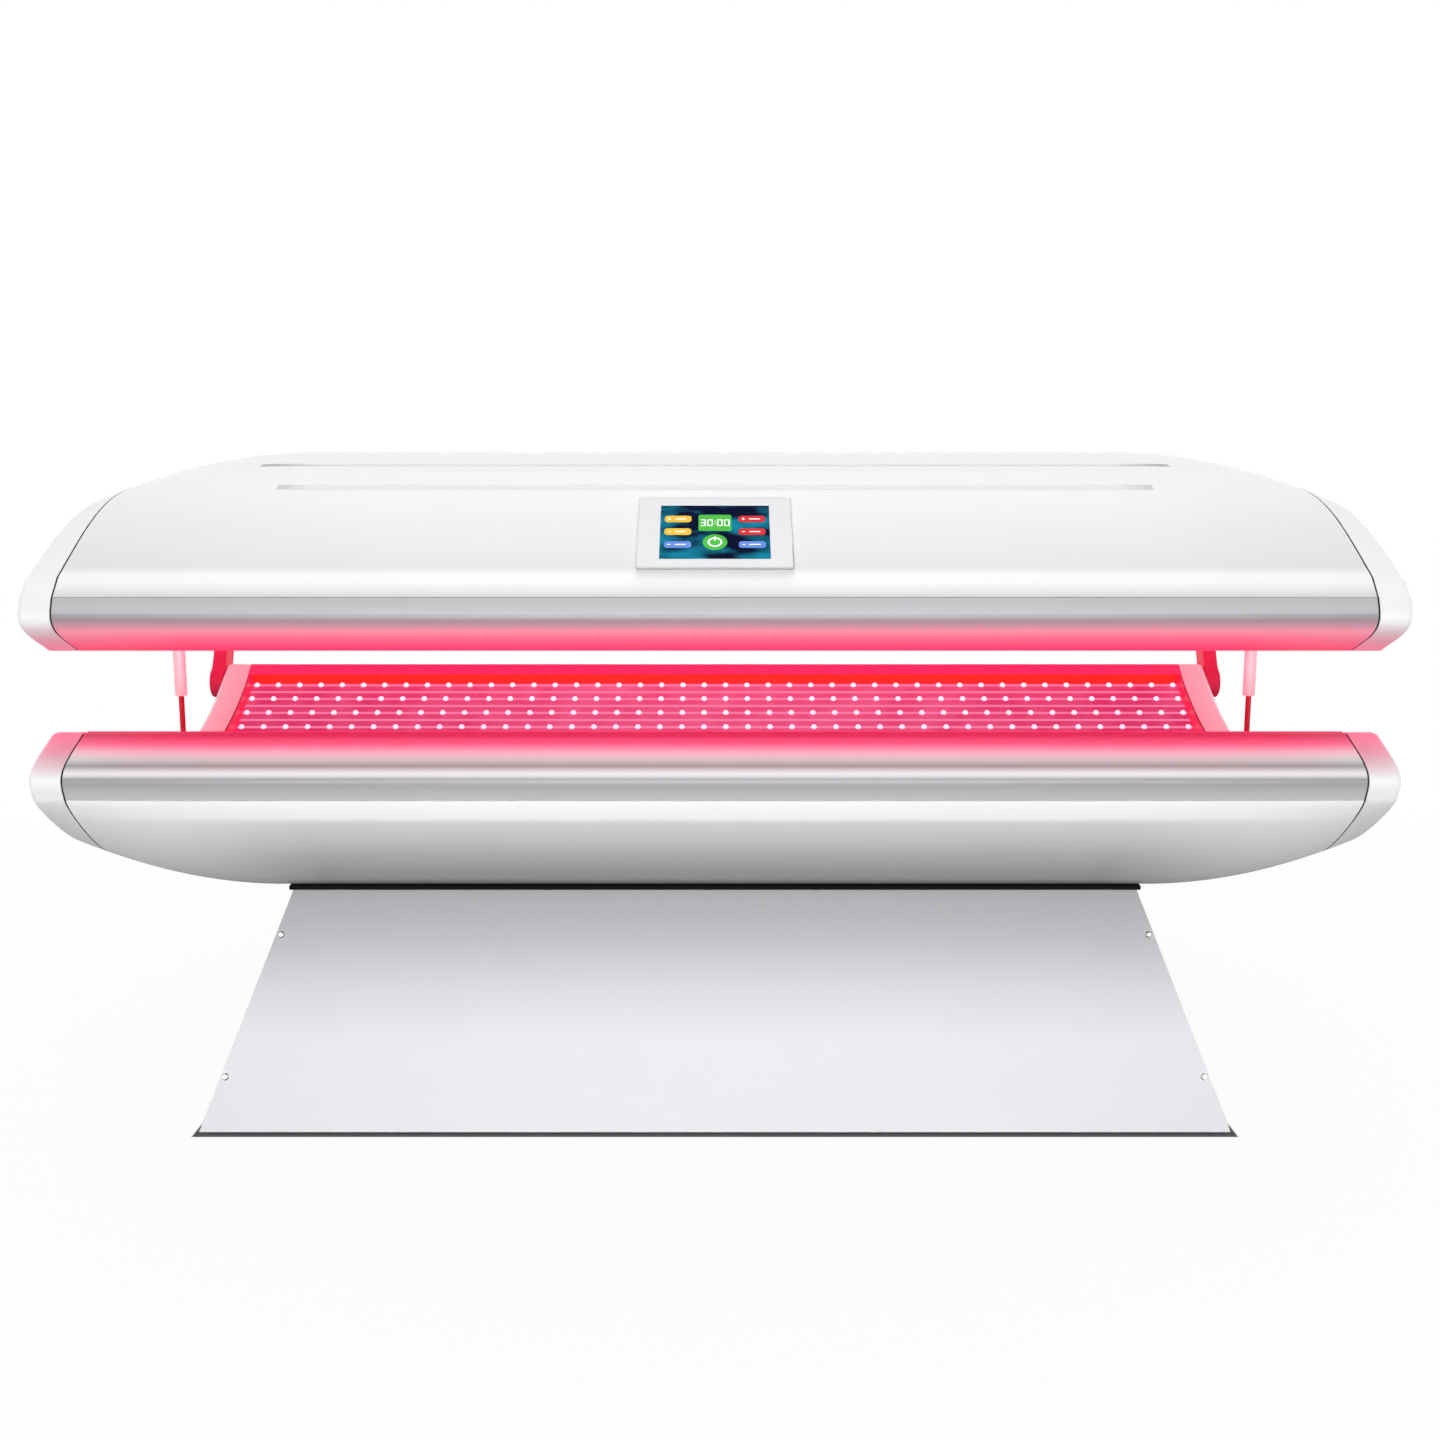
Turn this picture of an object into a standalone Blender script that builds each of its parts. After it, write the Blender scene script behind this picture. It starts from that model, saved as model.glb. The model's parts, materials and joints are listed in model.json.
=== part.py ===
"""Clamshell red light therapy bed.

A lying tub stands on a sheet metal base, and a canopy swings up behind it on two rear
arms, helped by two gas springs. Both halves carry LED boards behind a curved acrylic sheet.
Metres, +Z up, X along the bed, the front faces -Y, and the floor is z = 0.
"""
import bpy
import bmesh
from math import asin, atan2, cos, pi, radians, sin, sqrt
from mathutils import Matrix, Vector
from mathutils.geometry import interpolate_bezier

for old in list(bpy.data.objects):
    bpy.data.objects.remove(old, do_unlink=True)

# Clearances between pieces that touch
CLEARANCE = 0.0003
SEAM_GAP = 0.0018
RUNNING_GAP = 0.0006
PANEL_GAP = 0.0008

# Tub and canopy, over all
SHELL_LENGTH = 2.094
CAP_WIDTH = 0.056
BODY_DEPTH = 1.160
HULL_DEPTH = 0.2794
CANOPY_RISE = 0.329
TUNNEL_GAP = 0.138
STRAIGHT_LENGTH = 1.500
HULL_END_LIFT = 0.080
CANOPY_END_DROP = 0.080

# Section of the rails, front half, measured from the rim
RIM_INSET = 0.100
RIM_LIP = 0.014
RIM_SLOPE = radians(25)
RIM_LEAD = 0.050
NOSE_OUT = 0.064
NOSE_LEAD = 0.028
NOSE_UNDER = 0.012
SEAM_OUT = 0.094
SEAM_INSET = 0.009
SEAM_LEAN = radians(17)
SEAM_LEAD = 0.010
RAIL_WALL = 0.0035
RAIL_WEB = 0.078

# Section of the hull and of the canopy shell
SHELL_WALL = 0.004
HULL_FLAT_DEPTH = 0.790
HULL_SIDE_LEAD = 0.037
HULL_FLAT_LEAD = 0.046
HULL_FLAT_SLOPE = radians(14)
BAND_HEIGHT = 0.041
BAND_LEAN = radians(34)
SLOPE_ANGLE = radians(38)
SLOPE_LEAD = 0.240
CROWN_LEAD = 0.300
GROOVES = ((0.360, 1.484), (0.267, 1.589))
GROOVE_WIDTH = 0.014
GROOVE_DEPTH = 0.003
GROOVE_RUNOUT = 0.014

# Lying surface, LED tray and boards
BED_SAG = 0.157
ARC_STEPS = 28
ACRYLIC_WALL = 0.005
LED_DEPTH = 0.045
TRAY_WALL = 0.002
BOARD_COUNT = 5
BOARD_WALL = 0.003
BOARD_MARGIN = 0.012
BOARD_END_GAP = 0.010
FORMER_PITCH = 0.900
FORMER_WALL = 0.006
FORMER_HOLE_RADIUS = 0.022
FORMER_HOLE_PITCH = 0.170

# End caps
CAP_WALL = 0.004
CAP_EDGE = 0.007

# Base
SKIRT_GAP = 0.003
BASE_HEIGHT = 0.389
BASE_FOOT_LENGTH = 1.750
BASE_FOOT_DEPTH = 1.060
BASE_TOP_LENGTH = 1.466
BASE_TOP_DEPTH = 0.800
PANEL_WALL = 0.002
TOP_FLANGE = 0.045
FOOT_FLANGE = 0.020
GASKET_WALL = 0.008
GASKET_WIDTH = 0.060
GASKET_OVERHANG = 0.006
FRAME_TUBE = 0.030
FRAME_INSET = 0.022
FOOT_HEIGHT = 0.030
FOOT_RADIUS = 0.028
FOOT_PAD = 0.010
FOOT_NUT_RADIUS = 0.011
FOOT_NUT = 0.008
FOOT_STUD_RADIUS = 0.006
SHELF_LENGTH = 1.000
SHELF_WALL = 0.002

# Equipment on the shelf
SUPPLY_SIZE = (0.300, 0.130, 0.060)
SUPPLY_PITCH = 0.340
SUPPLY_Y = -0.120
SUPPLY_LEDGE = 0.018
BOARD_SIZE = (0.160, 0.110, 0.0016)
CHIP_SIZES = ((0.024, 0.024, 0.006), (0.040, 0.018, 0.012), (0.014, 0.060, 0.011))
CHIP_SPOTS = ((-0.030, 0.010), (0.035, -0.028), (0.060, 0.015))
CONTROL_X = 0.360
FAN_SIZE = 0.120
FAN_DEPTH = 0.025
FAN_PITCH = 0.500
FAN_Y = 0.300
FAN_TUNNEL_RADIUS = 0.056
FAN_HUB_RADIUS = 0.020
FAN_HUB_DEPTH = 0.017
FAN_BLADE_RADIUS = 0.053
FAN_BLADE_CHORD = 0.026
FAN_BLADE_WALL = 0.002
FAN_BLADE_PITCH = radians(32)
FAN_BLADE_COUNT = 7
FAN_SHAFT_RADIUS = 0.003
FAN_SPIDER_WALL = 0.004
FAN_SPIDER_WIDTH = 0.006
FAN_BOSS_WALL = 0.0056
FAN_BOSS_INSET = 0.0004
FAN_SHAFT_END = 0.0005
SLOT_COUNT = 7
SLOT_LENGTH = 0.110
SLOT_WIDTH = 0.007
SLOT_PITCH = 0.016
INLET_X = 0.600
INLET_Z = 0.110
INLET_FLANGE = (0.060, 0.003, 0.040)
INLET_BODY = (0.048, 0.030, 0.028)
INLET_SOCKET = (0.036, 0.020, 0.018)

# Control bezel and touch screen on the canopy's front slope
BEZEL_WIDTH = 0.252
BEZEL_FOOT_OUT = 0.134
BEZEL_TOP_OUT = 0.244
BEZEL_PROUD = 0.0085
BEZEL_EDGE = 0.003
SCREEN_WIDTH = 0.178
SCREEN_HEIGHT = 0.138
SCREEN_WALL = 0.003
SCREEN_RECESS = 0.001

# Canopy hinge arms and pins
HINGE_INSET = 0.110
HINGE_DROP = 0.040
ARM_WALL = 0.030
ARM_HALF_WIDTH = 0.026
ARM_LOBE_RADIUS = 0.034
ARM_BOW = 0.050
ARM_TOP_INSET = 0.080
ARM_TOP_OUT = 0.085
ARM_EDGE = 0.006
PIN_RADIUS = 0.009
PIN_HEAD_RADIUS = 0.016
PIN_HEAD = 0.004
PIN_REACH = 0.030

# Gas springs, upright at rest
SPRING_Y = 0.080
SPRING_STANDOFF = 0.022
TUBE_RADIUS = 0.012
TUBE_BORE_RADIUS = 0.010
TUBE_LENGTH = 0.262
TUBE_PLUG = 0.012
TUBE_SHOULDER = 0.004
ROD_RADIUS = 0.0055
ROD_END_GAP = 0.021
NECK_LENGTH = 0.022
EYE_RADIUS = 0.011
EYE_WALL = 0.0114
EYE_PIN_RADIUS = 0.004
FORK_WALL = 0.030
FORK_SLOT = 0.0126
FORK_HALF_WIDTH = 0.022
FORK_NOSE_RADIUS = 0.010

# Heights and places that follow
BASE_TOP_Z = SKIRT_GAP + BASE_HEIGHT
GASKET_Z = BASE_TOP_Z + CLEARANCE
HULL_Z = GASKET_Z + GASKET_WALL + CLEARANCE
RIM_Z = HULL_Z + HULL_DEPTH
CANOPY_Z = RIM_Z + TUNNEL_GAP
SEAM_X = SHELL_LENGTH / 2
END_X = SEAM_X + CAP_WIDTH
RIM_Y = BODY_DEPTH / 2 - RIM_INSET
BED_HALF_CHORD = RIM_Y - RIM_LIP
BED_RADIUS = (BED_HALF_CHORD ** 2 + BED_SAG ** 2) / (2 * BED_SAG)
BED_EDGE_ANGLE = asin(BED_HALF_CHORD / BED_RADIUS)
BED_CENTRE_OUT = BED_SAG - BED_RADIUS
FIT_ANGLE = BED_EDGE_ANGLE - CLEARANCE / BED_RADIUS
HINGE_Y = BODY_DEPTH / 2 - HINGE_INSET
HINGE_Z = RIM_Z - HINGE_DROP
ARM_TOP_Y = BODY_DEPTH / 2 - ARM_TOP_INSET
SPRING_X = SEAM_X + CAP_WIDTH / 2
TUB = -1
CANOPY = 1

bed = bpy.data.collections.new("red_light_therapy_bed")
cutters = bpy.data.collections.new("cutters")
bpy.context.scene.collection.children.link(bed)
bpy.context.scene.collection.children.link(cutters)


def finish(name, colour, roughness, metallic=0.0):
    """A Principled material with one colour."""
    made = bpy.data.materials.new(name)
    made.use_nodes = True
    shader = made.node_tree.nodes["Principled BSDF"]
    shader.inputs["Base Color"].default_value = (*colour, 1.0)
    shader.inputs["Roughness"].default_value = roughness
    shader.inputs["Metallic"].default_value = metallic
    made.diffuse_color = (*colour, 1.0)
    return made


WHITE_GLOSS = finish("white_gloss_shell", (0.87, 0.88, 0.90), 0.25)
WHITE_CAP = finish("white_moulded_cap", (0.84, 0.84, 0.86), 0.35)
WHITE_PANEL = finish("white_coated_sheet", (0.80, 0.81, 0.84), 0.40)
RAIL_METAL = finish("satin_anodised_aluminium", (0.62, 0.62, 0.63), 0.30, 1.0)
CLEAR_SHEET = finish("clear_acrylic", (0.90, 0.55, 0.62), 0.08)
TRAY_METAL = finish("reflector_aluminium", (0.72, 0.72, 0.74), 0.25, 1.0)
BOARD_RED = finish("led_board", (0.80, 0.05, 0.16), 0.45)
BLACK_RUBBER = finish("black_rubber", (0.02, 0.02, 0.02), 0.80)
FRAME_STEEL = finish("primed_steel_tube", (0.30, 0.31, 0.33), 0.55, 0.6)
ZINC_STEEL = finish("zinc_plated_steel", (0.60, 0.60, 0.58), 0.35, 1.0)
WHITE_TUBE = finish("white_coated_tube", (0.86, 0.80, 0.81), 0.30)
CHROME_ROD = finish("chromed_rod", (0.75, 0.72, 0.72), 0.12, 1.0)
ARM_WHITE = finish("white_coated_arm", (0.85, 0.72, 0.75), 0.35)
SCREEN_GLASS = finish("screen_glass", (0.02, 0.07, 0.12), 0.10)
BLACK_PLASTIC = finish("black_plastic", (0.03, 0.03, 0.03), 0.50)
BOARD_GREEN = finish("green_board", (0.02, 0.20, 0.08), 0.50)


def add(name, mesh, material, parent=None):
    """A part in the bed's collection, kept where its mesh is when it has a parent."""
    part = bpy.data.objects.new(name, mesh)
    mesh.materials.append(material)
    bed.objects.link(part)
    if parent:
        part.parent = parent
        part.matrix_parent_inverse = Matrix.Translation(parent.location).inverted()
    return part


def mesh_from(name, bm):
    """A mesh datablock from a bmesh, with the bmesh freed."""
    made = bpy.data.meshes.new(name)
    bm.to_mesh(made)
    bm.free()
    return made


def cutter(name, mesh):
    """A hidden object for Boolean modifiers."""
    made = bpy.data.objects.new(name, mesh)
    made.display_type = "WIRE"
    made.hide_render = True
    cutters.objects.link(made)
    return made


def combine(part, tool, operation):
    """One Boolean step on a part."""
    step = part.modifiers.new(operation.lower(), "BOOLEAN")
    step.operation = operation
    step.object = tool


def solidify(part, wall):
    """Wall thickness inwards from the drawn surface."""
    step = part.modifiers.new("wall", "SOLIDIFY")
    step.thickness = wall
    step.offset = -1
    step.use_even_offset = True
    step.use_quality_normals = True


def round_edges(part, width, segments=2):
    """Rounded sharp edges."""
    step = part.modifiers.new("edges", "BEVEL")
    step.width = width
    step.segments = segments
    step.limit_method = "ANGLE"
    step.angle_limit = radians(50)


def boxes(name, sizes, centres, turn=None):
    """A mesh of upright boxes, each with its size and centre."""
    bm = bmesh.new()
    for size, centre in zip(sizes, centres):
        place = Matrix.Translation(centre) @ Matrix.Diagonal((*size, 1))
        bmesh.ops.create_cube(bm, size=1, matrix=(turn or Matrix()) @ place)
    return mesh_from(name, bm)


def rod_mesh(name, radius, start, end, sides=24):
    """A plain round bar along X between two points."""
    bm = bmesh.new()
    centre = (Vector(start) + Vector(end)) / 2
    length = abs(end[0] - start[0])
    place = Matrix.Translation(centre) @ Matrix.Rotation(pi / 2, 4, "Y")
    bmesh.ops.create_cone(bm, cap_ends=True, segments=sides, radius1=radius, radius2=radius,
                          depth=length, matrix=place)
    return mesh_from(name, bm)


def turned(name, profile, material, sides=20):
    """A solid of revolution about Z; its profile runs from the top to the bottom."""
    mesh = bpy.data.meshes.new(name)
    edges = [(i, i + 1) for i in range(len(profile) - 1)]
    mesh.from_pydata([(r, 0, z) for r, z in profile], edges, [])
    part = add(name, mesh, material)
    step = part.modifiers.new("turn", "SCREW")
    step.steps = sides
    step.render_steps = sides
    step.use_merge_vertices = True
    step.merge_threshold = 0.00005
    step.use_normal_calculate = False
    return part


def plate(name, outlines, wall, place):
    """A flat plate from closed outlines, the first outside and the rest holes."""
    shape = bpy.data.curves.new(name, "CURVE")
    shape.dimensions = "2D"
    shape.fill_mode = "BOTH"
    shape.extrude = wall / 2
    for outline in outlines:
        spline = shape.splines.new("POLY")
        spline.points.add(len(outline) - 1)
        for point, (u, v) in zip(spline.points, outline):
            point.co = (u, v, 0, 1)
        spline.use_cyclic_u = True
    drawn = bpy.data.objects.new(name + "_outline", shape)
    cutters.objects.link(drawn)
    graph = bpy.context.evaluated_depsgraph_get()
    mesh = bpy.data.meshes.new_from_object(drawn.evaluated_get(graph))
    bpy.data.objects.remove(drawn, do_unlink=True)
    bm = bmesh.new()
    bm.from_mesh(mesh)
    bpy.data.meshes.remove(mesh)
    bmesh.ops.remove_doubles(bm, verts=bm.verts, dist=0.00001)
    bm.transform(place)
    return mesh_from(name, bm)


def section_plane(x):
    """Places a drawing of (y, z) in the plane across the bed at x."""
    return Matrix.Translation((x, 0, 0)) @ Matrix.Rotation(pi / 2, 4, "Z") @ Matrix.Rotation(pi / 2, 4, "X")


def circle(u, v, radius, sides=24):
    """Points of a circle."""
    return [(u + radius * cos(2 * pi * i / sides), v + radius * sin(2 * pi * i / sides)) for i in range(sides)]


def bezier(start, lead, trail, end, steps):
    """Points of a cubic curve in the section plane, both ends included."""
    knots = [Vector((*p, 0)) for p in (start, lead, trail, end)]
    return [(p.x, p.y) for p in interpolate_bezier(*knots, steps + 1)]


def height(out, half):
    """Height of a section point: the tub lies below its rim, the canopy above."""
    return RIM_Z - out if half == TUB else CANOPY_Z + out


def seam_point(gap=0.0):
    """Where rail and shell meet, moved along the section by a gap."""
    return (-BODY_DEPTH / 2 + SEAM_INSET + gap * sin(SEAM_LEAN), SEAM_OUT + gap * cos(SEAM_LEAN))


def rail_front():
    """Outer face of the front rail: rim edge, sloping lead-in, rounded nose, seam."""
    rim = (-RIM_Y, 0.0)
    nose = (-BODY_DEPTH / 2, NOSE_OUT)
    seam = seam_point()
    rim_lead = (rim[0] - RIM_LEAD * cos(RIM_SLOPE), RIM_LEAD * sin(RIM_SLOPE))
    slope = bezier(rim, rim_lead, (nose[0], NOSE_OUT - NOSE_LEAD), nose, 6)
    seam_lead = (seam[0] - SEAM_LEAD * sin(SEAM_LEAN), seam[1] - SEAM_LEAD * cos(SEAM_LEAN))
    under = bezier(nose, (nose[0], NOSE_OUT + NOSE_UNDER), seam_lead, seam, 3)
    return slope + under[1:]


def hull_front(gap=0.0):
    """Front half of the hull's section, from the seam to the edge of the flat bottom."""
    seam = seam_point(gap)
    flat = (-HULL_FLAT_DEPTH / 2, HULL_DEPTH)
    lead = (seam[0] + HULL_SIDE_LEAD * sin(SEAM_LEAN), seam[1] + HULL_SIDE_LEAD * cos(SEAM_LEAN))
    trail = (flat[0] - HULL_FLAT_LEAD * cos(HULL_FLAT_SLOPE), flat[1] - HULL_FLAT_LEAD * sin(HULL_FLAT_SLOPE))
    return bezier(seam, lead, trail, flat, 6)


def canopy_slope(steps):
    """The canopy's front slope, from the top of the leaning band to the crown."""
    seam = seam_point()
    bend = (seam[0] + BAND_HEIGHT * sin(BAND_LEAN) / cos(BAND_LEAN), SEAM_OUT + BAND_HEIGHT)
    lead = (bend[0] + SLOPE_LEAD * cos(SLOPE_ANGLE), bend[1] + SLOPE_LEAD * sin(SLOPE_ANGLE))
    return bezier(bend, lead, (-CROWN_LEAD, CANOPY_RISE), (0.0, CANOPY_RISE), steps)


def slope_out(y):
    """Height of the canopy's slope above its rim at a distance y from the middle."""
    points = canopy_slope(60)
    for (y0, out0), (y1, out1) in zip(points, points[1:]):
        if y0 <= -abs(y) <= y1:
            return out0 + (out1 - out0) * (-abs(y) - y0) / (y1 - y0)
    return CANOPY_RISE


def groove_sink(y, x):
    """Depth of the long pressed grooves at a point of the canopy."""
    for groove_y, groove_length in GROOVES:
        run = min(max((groove_length / 2 - abs(x)) / GROOVE_RUNOUT, 0.0), 1.0)
        across = (GROOVE_WIDTH / 2 - abs(abs(y) - groove_y)) / (GROOVE_WIDTH / 4)
        if across > 0.0:
            return GROOVE_DEPTH * run * min(across, 1.0)
    return 0.0


def canopy_front(gap=0.0, grooves=()):
    """Front half of the canopy's section, from the seam over the slope to the crown."""
    wanted = [p[0] for p in canopy_slope(8)]
    for groove_y, _ in grooves:
        wanted = [y for y in wanted if abs(y + groove_y) > GROOVE_WIDTH]
        wanted += [-groove_y + GROOVE_WIDTH * share for share in (-0.5, -0.25, 0.25, 0.5)]
    wanted.sort()
    return [seam_point(gap)] + [(y, slope_out(y)) for y in wanted]


def whole(front):
    """A section from its front half, mirrored about the middle of the bed."""
    rear = [(-y, out) for y, out in reversed(front)]
    return front + (rear[1:] if abs(front[-1][0]) < CLEARANCE else rear)


def end_scale(x, half):
    """How far the shell's depth has shrunk towards the ends of the bed."""
    run = max(abs(x) - STRAIGHT_LENGTH / 2, 0.0) / (END_X - STRAIGHT_LENGTH / 2)
    change, depth = (HULL_END_LIFT, HULL_DEPTH) if half == TUB else (CANOPY_END_DROP, CANOPY_RISE)
    return 1.0 - change * run ** 2 / (depth - SEAM_OUT)


def shell_ring(section, x, half):
    """A shell's section placed at x, with the end shrink and any grooves."""
    ring = []
    for y, out in section:
        if out > SEAM_OUT:
            out = SEAM_OUT + (out - SEAM_OUT) * end_scale(x, half)
        if half == CANOPY:
            out -= groove_sink(y, x)
        ring.append(Vector((x, y, height(out, half))))
    return ring


def loft(rings, inside):
    """A bmesh surface through rings of points, facing away from a point inside."""
    bm = bmesh.new()
    across = len(rings[0]) - 1
    along = len(rings) - 1
    bmesh.ops.create_grid(bm, x_segments=across, y_segments=along, size=1)
    for vert in bm.verts:
        column = round((vert.co.x + 1) / 2 * across)
        row = round((vert.co.y + 1) / 2 * along)
        vert.co = rings[row][column]
    bm.normal_update()
    facing = sum((f.calc_center_median() - Vector(inside)).dot(f.normal) * f.calc_area() for f in bm.faces)
    if facing < 0:
        bmesh.ops.reverse_faces(bm, faces=bm.faces)
    return bm


def bed_point(radius, angle):
    """A point of the section in polar terms about the centre of the bed's arc."""
    return (radius * sin(angle), BED_CENTRE_OUT + radius * cos(angle))


def straight(section, x_half, half):
    """Two rings of one section, for a piece of constant section along the bed."""
    return [[Vector((x, y, height(out, half))) for y, out in section] for x in (-x_half, x_half)]


def end_stations(extra=()):
    """Places along the bed where a shell's section is drawn."""
    half_run = SEAM_X - STRAIGHT_LENGTH / 2
    places = [STRAIGHT_LENGTH / 2 + half_run * i / 4 for i in range(5)]
    places = sorted(set(places) | set(extra))
    return [-x for x in reversed(places)] + places


def make_shell(name, front, half, extra, parent=None):
    """The outer skin of the tub or of the canopy, open towards the bed."""
    rings = [shell_ring(whole(front), x, half) for x in end_stations(extra)]
    bm = loft(rings, (0, 0, height(0, half)))
    part = add(name, mesh_from(name, bm), WHITE_GLOSS, parent)
    solidify(part, SHELL_WALL)
    return part


def make_rail(name, side, half, parent=None):
    """An extruded rail: nose outside, flat lip at the rim, web towards the tray."""
    web = bed_point(BED_RADIUS + RAIL_WEB, -BED_EDGE_ANGLE)
    path = [web, (-BED_HALF_CHORD, 0.0)] + rail_front()
    path = [(-side * y, out) for y, out in path]
    inside_y = side * (BODY_DEPTH / 2 - RIM_INSET / 2)
    bm = loft(straight(path, SEAM_X, half), (0, inside_y, height(SEAM_OUT / 2, half)))
    part = add(name, mesh_from(name, bm), RAIL_METAL, parent)
    solidify(part, RAIL_WALL)
    return part


def make_end_cap(name, side, half, parent=None):
    """A moulded cap that carries the bed's arc, the rail's nose and the shell round the end."""
    front = hull_front() if half == TUB else canopy_front()
    outside = whole(rail_front() + front[1:])
    arc = [bed_point(BED_RADIUS, BED_EDGE_ANGLE * (1 - 2 * i / ARC_STEPS)) for i in range(ARC_STEPS + 1)]
    rings = []
    for i in range(3):
        x = side * (SEAM_X + CLEARANCE + (CAP_WIDTH - CLEARANCE) * i / 2)
        ring = shell_ring(outside, x, half)
        rings.append(ring + [Vector((x, y, height(out, half))) for y, out in arc] + ring[:1])
    middle = (side * SEAM_X, 0, height((HULL_DEPTH - BED_CENTRE_OUT - BED_RADIUS) / 2, half))
    bm = loft(rings, middle)
    bmesh.ops.remove_doubles(bm, verts=bm.verts, dist=CLEARANCE / 3)
    rim = [e for e in bm.edges if e.is_boundary and all(abs(abs(v.co.x) - END_X) < CLEARANCE for v in e.verts)]
    bmesh.ops.contextual_create(bm, geom=rim)
    bmesh.ops.recalc_face_normals(bm, faces=bm.faces)
    wall = max(bm.faces, key=lambda face: len(face.verts))
    if wall.normal.x * side < 0:
        bmesh.ops.reverse_faces(bm, faces=bm.faces)
    bmesh.ops.bevel(bm, geom=list(wall.edges), offset=CAP_EDGE, segments=2, profile=0.5,
                    affect="EDGES", offset_type="OFFSET")
    part = add(name, mesh_from(name, bm), WHITE_CAP, parent)
    solidify(part, CAP_WALL)
    return part


def make_acrylic(name, half, parent=None):
    """The curved clear sheet that a person lies on, or faces."""
    arc = [bed_point(BED_RADIUS, FIT_ANGLE * (2 * i / ARC_STEPS - 1)) for i in range(ARC_STEPS + 1)]
    bm = loft(straight(arc, SEAM_X, half), (0, 0, height(BED_RADIUS, half)))
    part = add(name, mesh_from(name, bm), CLEAR_SHEET, parent)
    solidify(part, ACRYLIC_WALL)
    return part


def tray_angle(i):
    """Angle of the fold between two flats of the LED tray."""
    return FIT_ANGLE * (2 * i / BOARD_COUNT - 1)


def make_tray(name, half, parent=None):
    """A folded tray: a flat for each LED board, and a flange up to the acrylic at each edge."""
    top = BED_RADIUS + ACRYLIC_WALL + CLEARANCE
    floor = [bed_point(BED_RADIUS + LED_DEPTH, tray_angle(i)) for i in range(BOARD_COUNT + 1)]
    path = [bed_point(top, -FIT_ANGLE)] + floor + [bed_point(top, FIT_ANGLE)]
    bm = loft(straight(path, SEAM_X, half), (0, 0, height(BED_CENTRE_OUT + BED_RADIUS, half)))
    part = add(name, mesh_from(name, bm), TRAY_METAL, parent)
    solidify(part, TRAY_WALL)
    return part


def make_led_board(name, i, half, parent=None):
    """One long LED board lying on its flat of the tray."""
    middle = (tray_angle(i) + tray_angle(i + 1)) / 2
    half_step = (tray_angle(i + 1) - tray_angle(i)) / 2
    flat = (BED_RADIUS + LED_DEPTH) * cos(half_step)
    width = 2 * (BED_RADIUS + LED_DEPTH) * sin(half_step) - BOARD_MARGIN
    y, out = bed_point(flat - TRAY_WALL - CLEARANCE - BOARD_WALL / 2, middle)
    turn = Matrix.Translation((0, y, height(out, half))) @ Matrix.Rotation(-half * middle, 4, "X")
    size = (SHELL_LENGTH - 2 * BOARD_END_GAP, width, BOARD_WALL)
    return add(name, boxes(name, [size], [(0, 0, 0)], turn), BOARD_RED, parent)


def make_former(name, x):
    """A cross plate that carries the tray on the hull's floor, with lightening holes."""
    radius = (BED_RADIUS + LED_DEPTH) + 2 * CLEARANCE
    top = [bed_point(radius, tray_angle(i)) for i in range(1, BOARD_COUNT)]
    floor = HULL_DEPTH - SHELL_WALL - CLEARANCE
    outline = [(top[0][0], floor), (top[-1][0], floor)] + top[::-1]
    drawn = [(y, height(out, TUB)) for y, out in outline]
    mid_z = height((floor + BED_CENTRE_OUT + BED_RADIUS + LED_DEPTH) / 2, TUB)
    holes = [circle(FORMER_HOLE_PITCH * i, mid_z, FORMER_HOLE_RADIUS, 16) for i in (-1, 0, 1)]
    return add(name, plate(name, [drawn] + holes, FORMER_WALL, section_plane(x)), ZINC_STEEL)


def skirt_corner(level, inset, along_x, along_y):
    """A corner of the skirt at the foot (0) or top (1), moved in by an inset."""
    length = BASE_TOP_LENGTH if level else BASE_FOOT_LENGTH
    depth = BASE_TOP_DEPTH if level else BASE_FOOT_DEPTH
    z = BASE_TOP_Z if level else SKIRT_GAP
    return Vector((along_x * (length / 2 - inset), along_y * (depth / 2 - inset), z))


def make_panel(name, across, edge_gap):
    """A folded skirt panel: sloping face and top flange in one sheet, and at the ends a foot flange."""
    rows = []
    folds = [(0, 0.0), (1, 0.0), (1, TOP_FLANGE)]
    if across[0] != 0:
        folds.insert(0, (0, FOOT_FLANGE))
    for level, inset in folds:
        ends = []
        for end in (-1, 1):
            signs = (end, across[1]) if across[0] == 0 else (across[0], end)
            corner = skirt_corner(level, inset, *signs)
            if across[0] != 0:
                corner.y -= end * edge_gap
            ends.append(corner)
        rows.append(ends)
    bm = loft(rows, (0, 0, BASE_TOP_Z / 2))
    part = add(name, mesh_from(name, bm), WHITE_PANEL)
    solidify(part, PANEL_WALL)
    return part


def skirt_tilt():
    """Lean of the rear skirt panel from upright."""
    return atan2((BASE_FOOT_DEPTH - BASE_TOP_DEPTH) / 2, BASE_HEIGHT)


def rear_panel_y(z):
    """Outer face of the rear skirt panel at a height."""
    return BASE_FOOT_DEPTH / 2 - (z - SKIRT_GAP) * (BASE_FOOT_DEPTH - BASE_TOP_DEPTH) / 2 / BASE_HEIGHT


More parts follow.
